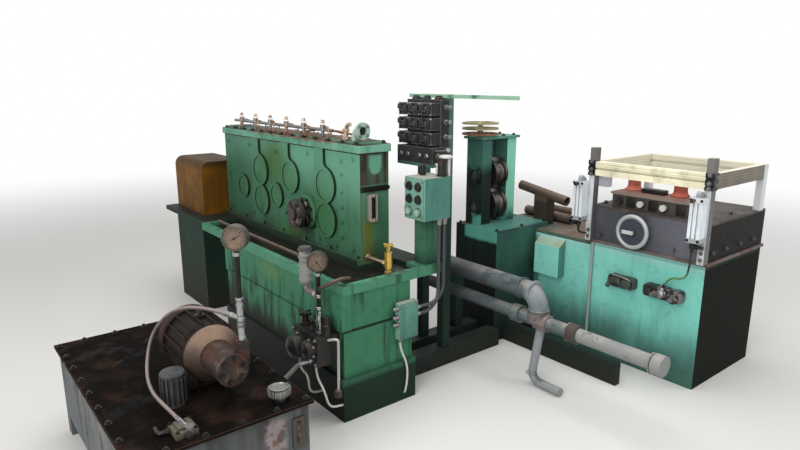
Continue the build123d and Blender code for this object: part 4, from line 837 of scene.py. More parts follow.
# %% The bolt tree
CORNER = 0.577  # from the middle of a hexagon to its corner, for one unit across its flats


def bolt_tree():
    """A node tree that stands hexagon bolts on points with a direction."""
    tree = bpy.data.node_groups.new("hexagon_bolts", "GeometryNodeTree")
    face = tree.interface
    face.new_socket("Points", in_out="INPUT", socket_type="NodeSocketGeometry")
    for name, size in (("Across", 0.018), ("Head", 0.008), ("Washer", 0.002)):
        face.new_socket(name, in_out="INPUT", socket_type="NodeSocketFloat").default_value = size
    face.new_socket("Finish", in_out="INPUT", socket_type="NodeSocketMaterial")
    face.new_socket("Bolts", in_out="OUTPUT", socket_type="NodeSocketGeometry")

    def node(kind, settings=None, inputs=None):
        made = tree.nodes.new(kind)
        for key, value in (settings or {}).items():
            setattr(made, key, value)
        for key, value in (inputs or {}).items():
            if isinstance(value, bpy.types.NodeSocket):
                tree.links.new(value, made.inputs[key])
            else:
                made.inputs[key].default_value = value
        return made

    def sum_of(operation, *numbers):
        return node("ShaderNodeMath", {"operation": operation}, dict(enumerate(numbers))).outputs[0]

    def cylinder(sides, radius, depth):
        return node("GeometryNodeMeshCylinder", None, {"Vertices": sides, "Radius": radius, "Depth": depth})

    given = node("NodeGroupInput").outputs
    across, head_up, washer_up = given["Across"], given["Head"], given["Washer"]
    half_head = sum_of("MULTIPLY_ADD", head_up, 0.5, washer_up)
    head = cylinder(6, sum_of("MULTIPLY", across, CORNER), head_up)
    washer = cylinder(12, sum_of("MULTIPLY", across, 0.86), washer_up)
    crown = cylinder(10, half_head, half_head)
    half_washer, crown_up = sum_of("MULTIPLY", washer_up, 0.5), sum_of("ADD", head_up, washer_up)
    joined = tree.nodes.new("GeometryNodeJoinGeometry")
    for part, lift in ((head, half_head), (washer, half_washer), (crown, crown_up)):
        up = node("ShaderNodeCombineXYZ", None, {"Z": lift})
        moved = node("GeometryNodeTransform", None, {"Geometry": part.outputs["Mesh"], "Translation": up.outputs[0]})
        tree.links.new(moved.outputs[0], joined.inputs[0])
    facing = node("GeometryNodeInputNamedAttribute", {"data_type": "FLOAT_VECTOR"}, {"Name": "facing"})
    stood = node("FunctionNodeAlignRotationToVector", {"axis": "Z"}, {"Vector": facing.outputs["Attribute"]})
    angle = node("FunctionNodeRandomValue", {"data_type": "FLOAT"}, {"Seed": 7})
    angle.inputs[3].default_value = math.tau
    twist = node("FunctionNodeAxisAngleToRotation", None, {"Axis": UP, "Angle": angle.outputs[1]})
    turned = node("FunctionNodeRotateRotation", {"rotation_space": "LOCAL"},
                  {"Rotation": stood.outputs[0], "Rotate By": twist.outputs[0]})
    spread = node("GeometryNodeInstanceOnPoints", None,
                  {"Points": given["Points"], "Instance": joined.outputs[0], "Rotation": turned.outputs[0]})
    real = node("GeometryNodeRealizeInstances", None, {"Geometry": spread.outputs[0]})
    painted = node("GeometryNodeSetMaterial", None, {"Geometry": real.outputs[0], "Material": given["Finish"]})
    tree.links.new(painted.outputs[0], node("NodeGroupOutput").inputs[0])
    return tree


def repeat(name, places, sizes, finish, body="mill_frame"):
    """Stand bolts on points with directions and keep them as one plain mesh. Sizes are in millimetres."""
    seeds = bpy.data.meshes.new(name + "_points")
    seeds.from_pydata([place for place, way in places], [], [])
    facing = seeds.attributes.new("facing", "FLOAT_VECTOR", "POINT")
    for number, (place, way) in enumerate(places):
        facing.data[number].vector = way
    carrier = bpy.data.objects.new(name + "_carrier", seeds)
    collection.objects.link(carrier)
    modifier = carrier.modifiers.new("repeat", "NODES")
    modifier.node_group = bolts
    sockets = {item.name: item.identifier for item in bolts.interface.items_tree if item.in_out == "INPUT"}
    for key, size in zip(("Across", "Head", "Washer"), sizes):
        modifier[sockets[key]] = size / 1000
    modifier[sockets["Finish"]] = finish.material
    data = bpy.data.meshes.new_from_object(carrier.evaluated_get(bpy.context.evaluated_depsgraph_get()))
    data.name = name
    bpy.data.objects.remove(carrier)
    place_piece(name, data, finish, body)


def spaced(start, step, count):
    """Values at one distance from each other."""
    return tuple(start + step * number for number in range(count))


def grid(across, along, upward, way):
    """Places at all crossings of the given values, all with one direction."""
    values = [part if isinstance(part, tuple) else (part,) for part in (across, along, upward)]
    return [(place, way) for place in itertools.product(*values)]


def circle(middle, radius, count, way, start=0.5):
    """Places on an upright circle, all with one direction."""
    across, upward = Vector(RIGHT if way == FRONT else BACK), Vector(UP)
    return [(Vector(middle) + (across * math.cos(turn) + upward * math.sin(turn)) * radius, way)
            for turn in (math.tau * (step + start) / count for step in range(count))]


bolts = bolt_tree()
print("bolt tree nodes:", len(bolts.nodes))

# %% [markdown]
# On the gearbox, bolts hold the lid, the foot and the front plate, and a ring of them holds the collar. Heads on
# the green face are painted over with it, so they take its paint and show as small shadows.

# %% Gearbox bolts
low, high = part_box("gearbox_case")
left, front, back, foot_z = low.x + 0.009, low.y, high.y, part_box("bed_plate")[1].z
lid_low, lid_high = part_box("gearbox_lid")
lid_xs = spaced(lid_low.x + 0.05, (lid_high.x - lid_low.x - 0.1) / 12, 13)
repeat("lid_bolts", grid(lid_xs, (lid_low.y + 0.019, lid_high.y - 0.019), 1.25, UP), (20, 9, 2), dark_steel)
face_y = front + 0.018
rows = grid(0.243, face_y, (1.161, 1.095, 1.003, 0.926, 0.846, 0.77), FRONT)
rows += [((x, face_y, z), FRONT) for x, z in ((-0.088, 1.172), (-0.455, 1.15), (0.345, 1.18), (0.345, 0.72),
                                              (-0.8, 1.165), (-1.12, 1.165), (-1.12, 0.95), (-1.12, 0.74),
                                              (-0.36, 0.8), (-0.78, 0.735), (0.02, 0.715), (0.19, 0.712))]
repeat("face_bolts", rows, (17, 7, 1.5), case)
rows = grid(spaced(left + 0.03, 0.256, 7), (front + 0.009, back - 0.009), foot_z + 0.028, UP)
repeat("foot_bolts", rows, (14, 10, 1.5), plates)
hub_x, hub_z, collar_front = -0.078, 0.85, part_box("input_collar")[0].y
repeat("collar_bolts", circle((hub_x, collar_front, hub_z), 0.078, 8, FRONT), (13, 6, 1), dark_steel)

# %% [markdown]
# The hub is thick with old grease. A sphere whose points are pushed in and out by smooth noise makes one lump, and
# several overlapping lumps that follow the flange make the collar of grease that the coupling carries round.

# %% Grease on the hub
grease = Shape()
hub_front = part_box("input_hub")[0].y
for turn, ring, depth, size in ((0.4, 0.052, 0.004, 0.02), (1.3, 0.046, 0.006, 0.024), (2.2, 0.056, 0.004, 0.018),
                                (3.4, 0.05, 0.006, 0.022), (4.3, 0.055, 0.003, 0.026), (5.4, 0.048, 0.006, 0.022),
                                (0.9, 0.06, 0.052, 0.02), (2.0, 0.062, 0.05, 0.022), (3.1, 0.058, 0.048, 0.018),
                                (4.6, 0.06, 0.052, 0.026), (5.7, 0.06, 0.05, 0.02)):
    middle = Vector((hub_x + ring * math.cos(turn), hub_front + 0.02 + depth, hub_z + ring * math.sin(turn)))
    for vert in bmesh.ops.create_icosphere(grease.mesh, subdivisions=3, radius=size)["verts"]:
        swell = 1 + 0.35 * lumps.noise(vert.co * 45 + middle * 9)
        vert.co = middle + Vector((vert.co.x, vert.co.y * 0.55, vert.co.z)) * swell
wet = Finish("wet_grease", (0.026, 0.02, 0.016))
wet.cover(0.7, (0.12, 0.092, 0.08), (40, 5, 2, 0.44, 0.62))
wet.done(0.18 + wet.noise(30, 4, 5) * 0.35, 0.0, wet.noise(70, 5, 8), 0.6, 0.003)
grease.done("hub_grease", wet, "dark_steel", "input_coupling")
rows = circle((hub_x, hub_front + 0.02, hub_z), 0.062, 6, FRONT, 0)
repeat("hub_bolts", rows, (16, 9, 2), oily_hub, "input_coupling")

# %% [markdown]
# ## Gauges
# Each gauge is a grey case with a tan dial, a scale of plain ticks and a dark needle. The bezel is turned, the ticks
# are small blocks set out on an arc of 270 degrees.

# %% Dials
dial_tan = Finish("dial_tan", (0.12, 0.088, 0.06))
dial_tan.cover(0.7, (0.2, 0.12, 0.085), (45, 5, 2, 0.42, 0.62))
dial_tan.done(0.5)
ink = Finish("scale_ink", (0.02, 0.018, 0.016))
ink.done(0.5)
gauge_way = Vector((1, -1, 0)).normalized()
gauge_side, gauge_up = Vector((1, 1, 0)).normalized(), Vector(UP)
bezels, dials, scales = Shape(), Shape(), Shape()
for middle, lean in (((*pump_gauge, 1.022), 0.5), ((*line_gauge, 0.775), -0.9)):
    face = Vector(middle) + gauge_way * 0.017
    bezels.turned([(45.5, -10), (46, 1), (44, 4), (38.5, 4), (37.5, 0.5), (37.5, -2)], face, gauge_way, 40)
    dials.turned([(37.6, 0.2), (37.6, 1.2)], face, gauge_way, 40)
    for step in range(28):
        turn = math.radians(225 - step * 10)
        way = gauge_side * math.cos(turn) + gauge_up * math.sin(turn)
        size = (0.005, 0.0011) if step % 3 == 0 else (0.0028, 0.0006)
        place = face + way * 0.031 + gauge_way * 0.0014
        corners = [place + way * along + way.cross(gauge_way) * wide
                   for along, wide in ((-size[0], -size[1]), (size[0], -size[1]), (size[0], size[1]),
                                       (-size[0], size[1]))]
        scales.mesh.faces.new([scales.mesh.verts.new(corner) for corner in corners])
    needle = gauge_side * math.cos(lean) + gauge_up * math.sin(lean)
    scales.tube([face + gauge_way * 0.0025 - needle * 0.01, face + gauge_way * 0.0025 + needle * 0.029], 0.0011, 6)
    scales.turned([(4.5, 1.5), (4, 4), (1.5, 4.5)], face, gauge_way, 16)
bezels.done("gauge_bezels", gauge_rim, "gauge_metal")
dials.done("gauge_dials", dial_tan, "gauge_metal")
scales.done("gauge_scales", ink, "gauge_metal")

# %% [markdown]
# ## Fittings of the hydraulic unit
# Steel tube is joined with hexagon nuts, and each one catches the light. A nut is a turned form with six sides. The
# thin tubes are pale because they were changed last; they leave the filter and enter the plinth or the junction box.

# %% Nuts and risers
def nuts(shape, places, way, across=26, length=16):
    """Hexagon nuts that sit on a tube."""
    flat, corner = across * 0.5, across * CORNER
    for place in places:
        shape.turned([(flat, 0), (corner, 1.5), (corner, length - 1.5), (flat, length)], place, way, 6)


fittings = Shape()
fittings.turned([(12.5, 642), (12.5, 800)], (*pump_gauge, 0), UP, 16)
nuts(fittings, [(*pump_gauge, z) for z in (0.642, 0.69, 0.712, 0.762, 0.786)], UP)
nuts(fittings, [(*pump_gauge, 0.955), (*line_gauge, 0.708), (*line_gauge, 0.606), (*line_gauge, 0.434)], UP)
fittings.turned([(14, 450), (16, 456), (16, 500), (12.5, 506), (12.5, 560)], (*line_gauge, 0), UP, 16)
nuts(fittings, [(*line_gauge, 0.475), (*line_gauge, 0.548)], UP)
nuts(fittings, [(0.53, -0.28, 0.616)], RIGHT, 34)
nuts(fittings, [(0.66, -0.597, 0.316)], FRONT)
nuts(fittings, [(0.56, -0.345, 0.316)], BACK)
for end, before in ((0, 1), (-1, -2)):
    start, after = Vector(return_route[end]), Vector(return_route[before])
    way = (after - start).normalized()
    fittings.turned([(8.5, -2), (11.5, 0), (11.5, 12), (10.5, 16), (10.5, 36), (9, 40)], start, way, 16)
fittings.done("hydraulic_fittings", bright, "bright_cap")

thin = Shape()
thin.tube([(0.6, -0.262, 0.41), (0.645, -0.236, 0.424), (0.629, -0.226, 0.385), (0.623, -0.226, 0.16)],
          0.0065, 10, 8)
for route in ([(0.55, -0.3, 0.292), (0.556, -0.3, 0.225), (0.62, -0.3, 0.18), (0.64, -0.29, 0.1), (0.64, -0.215, 0.09)],
              [(0.4, -0.3, 0.292), (0.402, -0.3, 0.21), (0.48, -0.3, 0.2), (0.482, -0.3, 0.11), (0.482, -0.215, 0.1)],
              [(0.655, 0.107, 0.334), (0.656, 0.117, 0.269), (0.659, 0.15, 0.2), (0.659, 0.155, 0.12),
               (0.658, 0.142, 0.05), (0.65, 0.142, 0.04)]):
    thin.tube(route, 0.0055, 10, 8)
thin.done("thin_tubes", pale_steel, "bright_cap")
brown = Shape()
brown.tube([(0.56, -0.28, 0.644), (0.606, -0.276, 0.672), (0.612, -0.195, 0.69), (0.585, -0.13, 0.672)], 0.009)
brown.tube([(-0.96, -0.105, 0.664), (-0.3, -0.105, 0.666), (0.34, -0.105, 0.664)], 0.01)
brown.turned([(20, 0), (22, 6), (18, 30), (10, 34)], (0.623, -0.226, 0.13), UP, 16)
brown.done("brown_tubes", rusty, "rusty_steel")

# %% [markdown]
# The return hose ends in a small connection block on the tank's lid, under a layer of tan dust, with an elbow for
# the pump's suction line beside it.

# %% Connection block
port = Shape()
port.block((0.898, -1.078, 0.408), (0.982, -1.002, 0.436), 0.003)
port.block((0.912, -1.064, 0.434), (0.966, -1.012, 0.446), 0.003)
port.done("connection_block", dusty_block, "gauge_metal")
elbows = Shape()
elbows.turned([(13, -2), (13, 10), (10, 12), (10, 24)], (0.98, -1.04, 0.423), RIGHT, 6)
elbows.turned([(12, -2), (12, 10), (9, 12), (9, 22)], (0.92, -1.077, 0.422), FRONT, 6)
elbows.tube([(0.92, -1.092, 0.422), (0.92, -1.112, 0.422), (0.9, -1.114, 0.421), (0.87, -1.11, 0.419)], 0.008, 12, 5)
elbows.done("port_elbows", filter_black)
repeat("port_screws", grid((0.904, 0.976), (-1.071, -1.009), 0.436, UP), (9, 5, 0.8), dark_steel)

# %% [markdown]
# The filter is a black block with two bowls on its face and two throttles with cross handles on top. The bowls are
# turned forms that stand forward, and a ring of bolts holds each.

# %% Filter bowls and throttles
def cross_handle(shape, place, slant, reach, radius):
    """Two level bars that cross, each reaching as far on both sides."""
    middle = Vector(place)
    for way in ((1, slant, 0), (-slant, 1, 0)):
        arm = Vector(way).normalized() * reach
        shape.tube([middle - arm, middle, middle + arm], radius, 10, 3)


bowls = Shape()
for x, z, radius, reach in ((0.448, 0.352, 56, 60), (0.55, 0.368, 40, 45)):
    bowls.turned([(radius * 1.12, -4), (radius * 1.12, 10), (radius, 12), (radius, reach * 0.6),
                  (radius * 0.85, reach * 0.85), (radius * 0.4, reach), (radius * 0.2, reach * 1.1)],
                 (x, -0.32, z), FRONT, 32)
for x, height in ((0.412, 62), (0.502, 50)):
    bowls.turned([(24, 0), (24, 14), (16, 18), (16, height - 12), (20, height - 10), (20, height), (8, height + 4)],
                 (x, -0.268, 0.428), UP, 20)
    cross_handle(bowls, (x, -0.268, 0.426 + height / 1000), 0.35, 0.034, 0.0065)
bowls.turned([(22, 0), (22, 50), (16, 54), (16, 90), (6, 94)], (0.586, -0.262, 0.428), UP, 18)
bowls.done("filter_bowls", filter_black)
rows = circle((0.448, -0.33, 0.352), 0.0595, 6, FRONT) + circle((0.55, -0.33, 0.368), 0.0425, 6, FRONT)
rows += grid((0.392, 0.588), -0.321, (0.302, 0.418), FRONT)
repeat("filter_bolts", rows, (12, 7, 1), line_steel)

# %% [markdown]
# On the tank, the small motor has a cap of its own, the filler a knurled lid, and the large motor an eyebolt for
# lifting. The lid is screwed down along its edge, and a level gauge is let into the end of the tank.

# %% Tank and motor fittings
caps, small_cap = Shape(), Shape()
small_low, small_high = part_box("circulation_motor")
middle = (small_low + small_high) / 2
small_cap.turned([(44, 0), (45, 4), (41, 10), (20, 13), (12, 20), (4, 21)],
                 (middle.x, middle.y, small_high.z - 0.004), UP, 32)
filler_low, filler_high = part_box("filler_cap")
filler = (filler_low + filler_high) / 2
for step in range(24):
    turn = math.tau * step / 24
    caps.turned([(3.2, 439), (3.2, 463)], (filler.x + 0.04 * math.cos(turn), filler.y + 0.04 * math.sin(turn), 0),
                UP, 6)
caps.turned([(34, 0), (36, 3), (30, 4), (28, 1), (10, 1)], (filler.x, filler.y, 0.4635), UP, 32)
small_cap.done("circulation_motor_cap", small_grey, "motor_paint")
caps.done("tank_caps", line_steel)
lift = Shape()
motor_y, motor_z = -0.835, 0.552
lift.turned([(18, 0), (18, 10), (9, 14)], (0.598, motor_y, 0.664), UP, 18)
lift.tube([Vector((0.598 + 0.017 * math.sin(turn), motor_y, 0.692 - 0.017 * math.cos(turn)))
           for turn in (math.tau * step / 20 for step in range(21))], 0.0055, 10, 1)
for ring in (30, 55, 80, 104):
    lift.turned([(ring, 0), (ring, 4), (ring - 7, 4), (ring - 7, 0)], (0.437, motor_y, motor_z), LEFT, 32)
lift.done("motor_lifting_eye", dark_steel)
level = Shape()
level.block((1.009, -0.676, 0.236), (1.018, -0.626, 0.358), 0.003)
level.done("level_gauge_frame", gauge_rim, "gauge_metal")
tube_glass = Shape()
tube_glass.tube([(1.02, -0.651, 0.254), (1.02, -0.651, 0.3), (1.02, -0.651, 0.342)], 0.008, 14, 3)
tube_glass.done("level_gauge_glass", wet, "gauge_metal")
lid_low, lid_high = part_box("tank_lid")
lid_top, margin = 0.412, 0.018
rows = grid(spaced(lid_low.x + 0.03, 0.134, 9), (lid_low.y + margin, lid_high.y - margin), lid_top, UP)
rows += [((x, y, lid_top), UP) for y in spaced(lid_low.y + 0.12, 0.13, 4)
         for x in (lid_low.x + margin, lid_high.x - margin)]
rows += grid((0.553, 0.653), (-0.93, -0.74), 0.426, UP)
repeat("tank_bolts", rows, (15, 7, 1.5), dark_steel)
repeat("pump_bolts", circle((0.8925, motor_y, motor_z), 0.044, 6, RIGHT, 0.25), (15, 9, 1.5), dark_steel)

# %% [markdown]
# ## The operator's box and the junction box
# Each push button sits in a metal ring, and the lower pair are lamps with pale glasses. The front is a door with a
# lip. On top stand a pilot lamp under a white cap and a cable gland; the conduits enter from below through glands.

# %% Button rings, door and glands
box_low, box_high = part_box("control_box")
rings, lamps_pale, door = Shape(), Shape(), Shape()
for column in (-0.033, 0.033):
    for row, z in enumerate((1.06, 0.998, 0.936)):
        place = (0.597 + column, box_low.y, z)
        rings.turned([(23.5, 0), (23.5, 4), (21.5, 5.5), (19.2, 5.5), (19.2, 1)], place, FRONT, 28)
        if row == 2:
            lamps_pale.turned([(15, 14.2), (14.2, 17.5), (9, 19.2), (3, 19.5)], place, FRONT, 24)
door.block((box_low.x + 0.007, box_low.y - 0.003, box_low.z + 0.008),
           (box_high.x - 0.007, box_low.y + 0.002, box_high.z - 0.008))
for z in (0.94, 1.06):
    door.turned([(4.5, 0), (4.5, 30)], (box_low.x - 0.002, box_low.y + 0.006, z - 0.015), UP, 10)
rings.done("button_rings", gauge_rim, "gauge_metal")
lamps_pale.done("pilot_lamps", vent, "bright_cap")
door.done("box_door", box_green, "box_paint")
top = Shape()
top.turned([(26, 0), (26, 8), (21, 10), (21, 88)], (0.645, 0.378, box_high.z), UP, 24)
top.turned([(13, 0), (13, 50), (9, 54)], (0.56, 0.33, box_high.z), UP, 16)
top.turned([(16, 0), (16, 12)], (0.56, 0.33, box_high.z), UP, 6)
top.done("box_top_lamp", filter_black)
white_cap = Shape()
white_cap.turned([(30, 0), (34, 3), (34, 10), (24, 15), (6, 17)], (0.649, 0.398, box_high.z + 0.086), UP, 28)
white_cap.turned([(9, 0), (9, 87)], (0.652, 0.415, box_high.z), UP, 14)
white_cap.turned([(8, 0), (8, 48), (13, 50), (13, 56)], (0.606, 0.384, box_high.z), UP, 14)
white_cap.done("box_top_caps", pale_steel, "bright_cap")
glands = Shape()
for y in (0.391, 0.357):
    glands.turned([(17, 0), (17, 12), (14, 14), (14, 30), (11, 34)], (0.653, y, box_low.z), DOWN, 12)
for z in (0.492, 0.447, 0.411):
    glands.turned([(13, 0), (13, 8), (10, 10), (10, 26), (6, 30)], (0.655, 0.099, z), FRONT, 12)
for z in (0.47, 0.436):
    glands.turned([(12, 0), (12, 10), (10, 12), (10, 24)], (0.653, 0.2105, z), BACK, 12)
glands.turned([(11, 0), (11, 12), (8, 16)], (0.655, 0.112, 0.333), DOWN, 12)
glands.done("cable_glands", line_steel)
lid_plate = Shape()
lid_plate.block((0.67, 0.104, 0.339), (0.6745, 0.205, 0.508), 0.002)
lid_plate.done("junction_lid", box_green, "box_paint")
rows = grid(0.6745, (0.111, 0.198), (0.346, 0.501), RIGHT)
rows += grid((box_low.x + 0.015, box_high.x - 0.015), box_low.y - 0.003, (box_low.z + 0.016, box_high.z - 0.016),
             FRONT)
repeat("box_screws", rows, (8, 3, 0.6), line_steel)

# %% [markdown]
# ## The valve stack
# Nine valves stand in three rows, each with a plug on its coil and four socket screws. Pressure fittings with worn
# edges close the right-hand side, and three pilot caps stand on top.

# %% Plugs, screws and side fittings
plugs, ends = Shape(), Shape()
bank_left, bank_foot, row_up = 0.222, 1.232, 0.074
pitch = (0.282 - 0.016) / 3
rows = []
for column in range(3):
    middle = bank_left + 0.014 + column * pitch + (pitch - 0.012) / 2
    for row in range(3):
        low_z = bank_foot + row * row_up
        plugs.block((middle - 0.034, 0.424, low_z + 0.03), (middle - 0.006, 0.441, low_z + 0.056), 0.003)
        plugs.turned([(7.5, 0), (7.5, 14), (5, 17)], (middle - 0.02, 0.432, low_z + 0.031), DOWN, 10)
        plugs.block((middle + 0.012, 0.43, low_z + 0.008), (middle + 0.032, 0.441, low_z + 0.052), 0.002)
        rows += [((middle + x, 0.4405, low_z + z), FRONT) for x in (-0.033, 0.036) for z in (0.006, 0.057)]
for column in range(3):
    plugs.turned([(21, 0), (21, 10), (16, 13), (16, 20), (6, 22)],
                 (bank_left + 0.047 + column * pitch, 0.53, 1.457), UP, 20)
plugs.done("coil_plugs", socket)
repeat("valve_screws", rows, (9, 4, 0.5), bright)
right_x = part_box("valve_manifold")[1].x
for y, z in ((0.528, 1.42), (0.528, 1.346), (0.528, 1.272), (0.47, 1.178), (0.528, 1.166)):
    inset = 0.008 if z > 1.23 else 0
    ends.turned([(15, -2), (15, 12), (10, 14), (10, 30), (13, 31), (13, 42), (6, 44)],
                (right_x - inset, y, z), RIGHT, 6)
ends.tube([(0.504, 0.455, 1.205), (0.555, 0.455, 1.208), (0.598, 0.45, 1.216)], 0.006, 10, 3)
ends.turned([(11, 0), (12, 3), (12, 20), (9, 23)], (0.594, 0.451, 1.215), (1, -0.1, 0.2), 14)
for x in (0.262, 0.318, 0.408, 0.464):
    ends.turned([(14, 0), (14, 6), (9, 9), (9, 12)], (x, 0.44, 1.176), FRONT, 6)
ends.done("pressure_fittings", line_steel)
rows = grid((0.232, 0.494), 0.452, 1.136, UP)
rows += grid((0.275, 0.45), 0.56, (1.108, 0.905), FRONT)
repeat("rack_bolts", rows, (16, 8, 2), dark_steel)

# %% [markdown]
# ## Fittings of the gearbox
# The sight glass is clamped between two brass ends. Drip-feed valves on the rail send thin copper tubes over the
# lid, and a brass cock with a cross handle drains the case.

# %% Sight glass, copper tubes and cock
copper = metal("copper_tube", (0.26, 0.13, 0.07), 0.3, 0.6, 0.8, 0.6, 0.2, seed=60)
copper.give()
brass_parts, pipes = Shape(), Shape()
for z in (0.878, 1.002):
    brass_parts.turned([(9, 0), (9, 6), (4, 8)], (0.42, 0.133, z), RIGHT, 8)
brass_parts.turned([(12, 0), (12, 12), (14, 14), (14, 22), (6, 24)], (0.579, 0.1, 0.766), UP, 8)
cross_handle(brass_parts, (0.579, 0.1, 0.79), 0.2, 0.026, 0.006)
nuts(brass_parts, [(0.546, 0.1, 0.695), (0.402, 0.1, 0.695)], RIGHT, 30)
nuts(brass_parts, [(0.579, 0.1, 0.648)], UP, 34, 14)
brass_parts.tube([(0.262, 0.082, 1.266), (0.262, 0.082, 1.318), (0.278, 0.082, 1.342), (0.3, 0.082, 1.344)],
                 0.01, 12, 5)
nuts(brass_parts, [(0.262, 0.082, 1.268), (0.262, 0.082, 1.306)], UP, 30)
brass_parts.done("brass_fittings", brass)
rail_y, feed_xs = 0.123, spaced(-1.02, 0.2, 6)
for number, x in enumerate(feed_xs):
    spread = 0.03 + 0.018 * (number % 3)
    pipes.tube([(x, rail_y, 1.305), (x + spread, 0.118, 1.322), (x + spread * 1.5, 0.095, 1.295),
                (x + spread * 1.7, 0.08, 1.252)], 0.0035, 8, 5)
    pipes.tube([(x, rail_y, 1.3), (x - spread, 0.15, 1.312), (x - spread, 0.21, 1.29), (x - spread, 0.222, 1.252)],
               0.0035, 8, 5)
pipes.tube([(0.08, rail_y, 1.298), (0.15, rail_y, 1.298), (0.19, 0.15, 1.29), (0.19, 0.2, 1.27), (0.19, 0.22, 1.252)],
           0.006, 10, 5)
pipes.tube([(-0.32, 0.16, 1.264), (-0.1, 0.17, 1.296), (0.1, 0.155, 1.29), (0.262, 0.092, 1.29)], 0.005, 10, 6)
pipes.done("copper_lines", copper, "rusty_steel")
repeat("feed_valve_caps", grid(feed_xs, rail_y, 1.332, UP), (18, 12, 2), brass)
repeat("vent_ring_screws", circle((0.381, 0.108, 1.314), 0.0315, 4, RIGHT), (10, 4, 0.8), box_green)

# %% [markdown]
# ## Fittings of the station
# Each adjuster stands in a collar. A knob is the head of a clamping screw and shows its thread behind it. Under both
# cylinders sits a black flow valve with an elbow, and T-bolts hold the cylinders to the posts.

# %% Collars, screws and flow valves
collars, screws, valves = Shape(), Shape(), Shape()
clamp_low, clamp_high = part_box("clamp_blocks")
middle_y = (clamp_low.y + clamp_high.y) / 2
for x in (0.99, 1.256):
    collars.turned([(48, 0), (48, 6), (40, 13), (34.5, 26), (33.5, 26)], (x, middle_y, 0.958), UP, 32)
    screws.turned([(10, 0), (10, 20), (7, 24)], (x, middle_y, clamp_high.z - 0.004), UP, 6)
collars.done("adjuster_collars", orange, "orange_paint")
for x in (0.988, 1.116, 1.244):
    screws.turned([(9, 0), (9, 22)], (x, 1.392, 0.912), FRONT, 12)
    screws.turned([(22, 0), (22, 5), (18, 6)], (x, 1.3905, 0.912), FRONT, 20)
for x in (1.052, 1.18, 1.33):
    screws.block((x - 0.024, 1.3835, 0.884), (x + 0.024, 1.392, 0.936), 0.003)
screws.block((1.06, 1.47, 0.957), (1.19, 1.52, 0.982), 0.004)
screws.done("saddle_fittings", filter_black)
near_x, far_x, valve_y = 0.809, 1.46, 1.279
valves.turned([(9, 0), (9, 12), (13, 13), (13, 30), (8, 32), (8, 44)], (near_x, valve_y, 0.793), DOWN, 12)
valves.tube([(near_x, valve_y, 0.752), (near_x, valve_y, 0.728), (near_x + 0.01, 1.292, 0.716),
             (near_x + 0.034, 1.318, 0.712)], 0.006, 12, 5)
valves.turned([(14, 0), (14, 12), (10, 14), (10, 26)], (near_x - 0.012, valve_y, 0.772), LEFT, 8)
valves.turned([(8.5, 0), (8.5, 10), (14, 11), (14, 34), (7.5, 37), (7.5, 52)], (far_x, valve_y, 0.793), DOWN, 12)
valves.turned([(12, 0), (12, 18), (8, 22), (8, 34), (11, 35), (11, 42)], (far_x + 0.01, valve_y, 0.77), RIGHT, 12)
for x in (near_x, far_x):
    valves.turned([(8, 0), (8, 14), (10, 16), (10, 26), (5, 28)], (x, 1.2485, 1.0), FRONT, 8)
valves.done("flow_valves", filter_black)
repeat("cylinder_screws", grid((0.783, 0.835, 1.444, 1.496), 1.2485, (0.803, 1.001), FRONT), (9, 4, 0.5), dark_steel)
rows = grid((0.8485, 1.4935), 1.306, (1.0525, 1.078, 1.119), FRONT)
rows += [((0.87, 1.333, 1.072), RIGHT), ((1.514, 1.331, 1.07), RIGHT), ((1.514, 1.331, 1.108), RIGHT)]
rows += grid((0.852, 1.49), 1.31, (0.7, 0.735), FRONT)
repeat("frame_bolts", rows, (13, 6, 1.2), line_steel)
rows = grid(1.4995, (1.42, 1.56, 1.72, 1.88), 0.72, RIGHT)
rows += grid((0.87, 1.45), (1.44, 1.68), 0.874, UP)
rows += grid((0.905, 1.33), 1.3555, 0.712, FRONT)
repeat("head_bolts", rows, (20, 10, 2), slate)

# %% [markdown]
# The two sockets on the cabinet are multi-pole connectors: a hood with a cable gland, a locking lever and screws.
# The second carries a pair of plugs, one bare metal and one dark.

# %% Connectors on the cabinet
hoods, levers, plugs_two = Shape(), Shape(), Shape()
hoods.block((1.012, 1.286, 0.47), (1.086, 1.312, 0.505), 0.006, Matrix.Rotation(math.radians(-12), 3, "Y"))
hoods.block((1.092, 1.29, 0.458), (1.146, 1.312, 0.502), 0.008)
hoods.turned([(15, 0), (15, 10), (12, 12), (12, 26), (8, 30)], (1.02, 1.3, 0.47), (-0.5, -0.2, -0.85), 12)
levers.tube([(1.016, 1.306, 0.514), (1.016, 1.294, 0.522), (1.08, 1.292, 0.52), (1.142, 1.292, 0.512),
             (1.142, 1.306, 0.5)], 0.004, 10, 5)
hoods.block((1.226, 1.292, 0.462), (1.262, 1.312, 0.498), 0.008)
plugs_two.turned([(20, 0), (20, 18), (16.5, 20), (16.5, 28), (20, 30), (20, 40), (12, 44)],
                 (1.322, 1.311, 0.484), (0, -1, 0.12), 20)
plugs_two.turned([(12, 0), (12, 16), (8, 20)], (1.322, 1.292, 0.499), (0, 0.25, 1), 8)
plugs_two.turned([(16, 0), (16, 10), (13, 12), (13, 30), (6, 34)], (1.278, 1.311, 0.474), (-0.3, -1, -0.2), 14)
hoods.turned([(19, 0), (19, 16), (22, 18), (22, 34), (13, 42)], (1.378, 1.312, 0.476), (0.35, -1, -0.15), 18)
hoods.done("connector_hoods", socket)
levers.done("connector_levers", line_steel)
plugs_two.done("connector_plugs", line_steel, "bright_cap")

# %% [markdown]
# ## Fittings of the stand and the pipes
# The stand's cap is bolted down and each roll shaft has a cover with four bolts. A rolled pipe is joined by flanged
# unions, so each union gets hexagon flats, and every bend shows the bead of its weld.

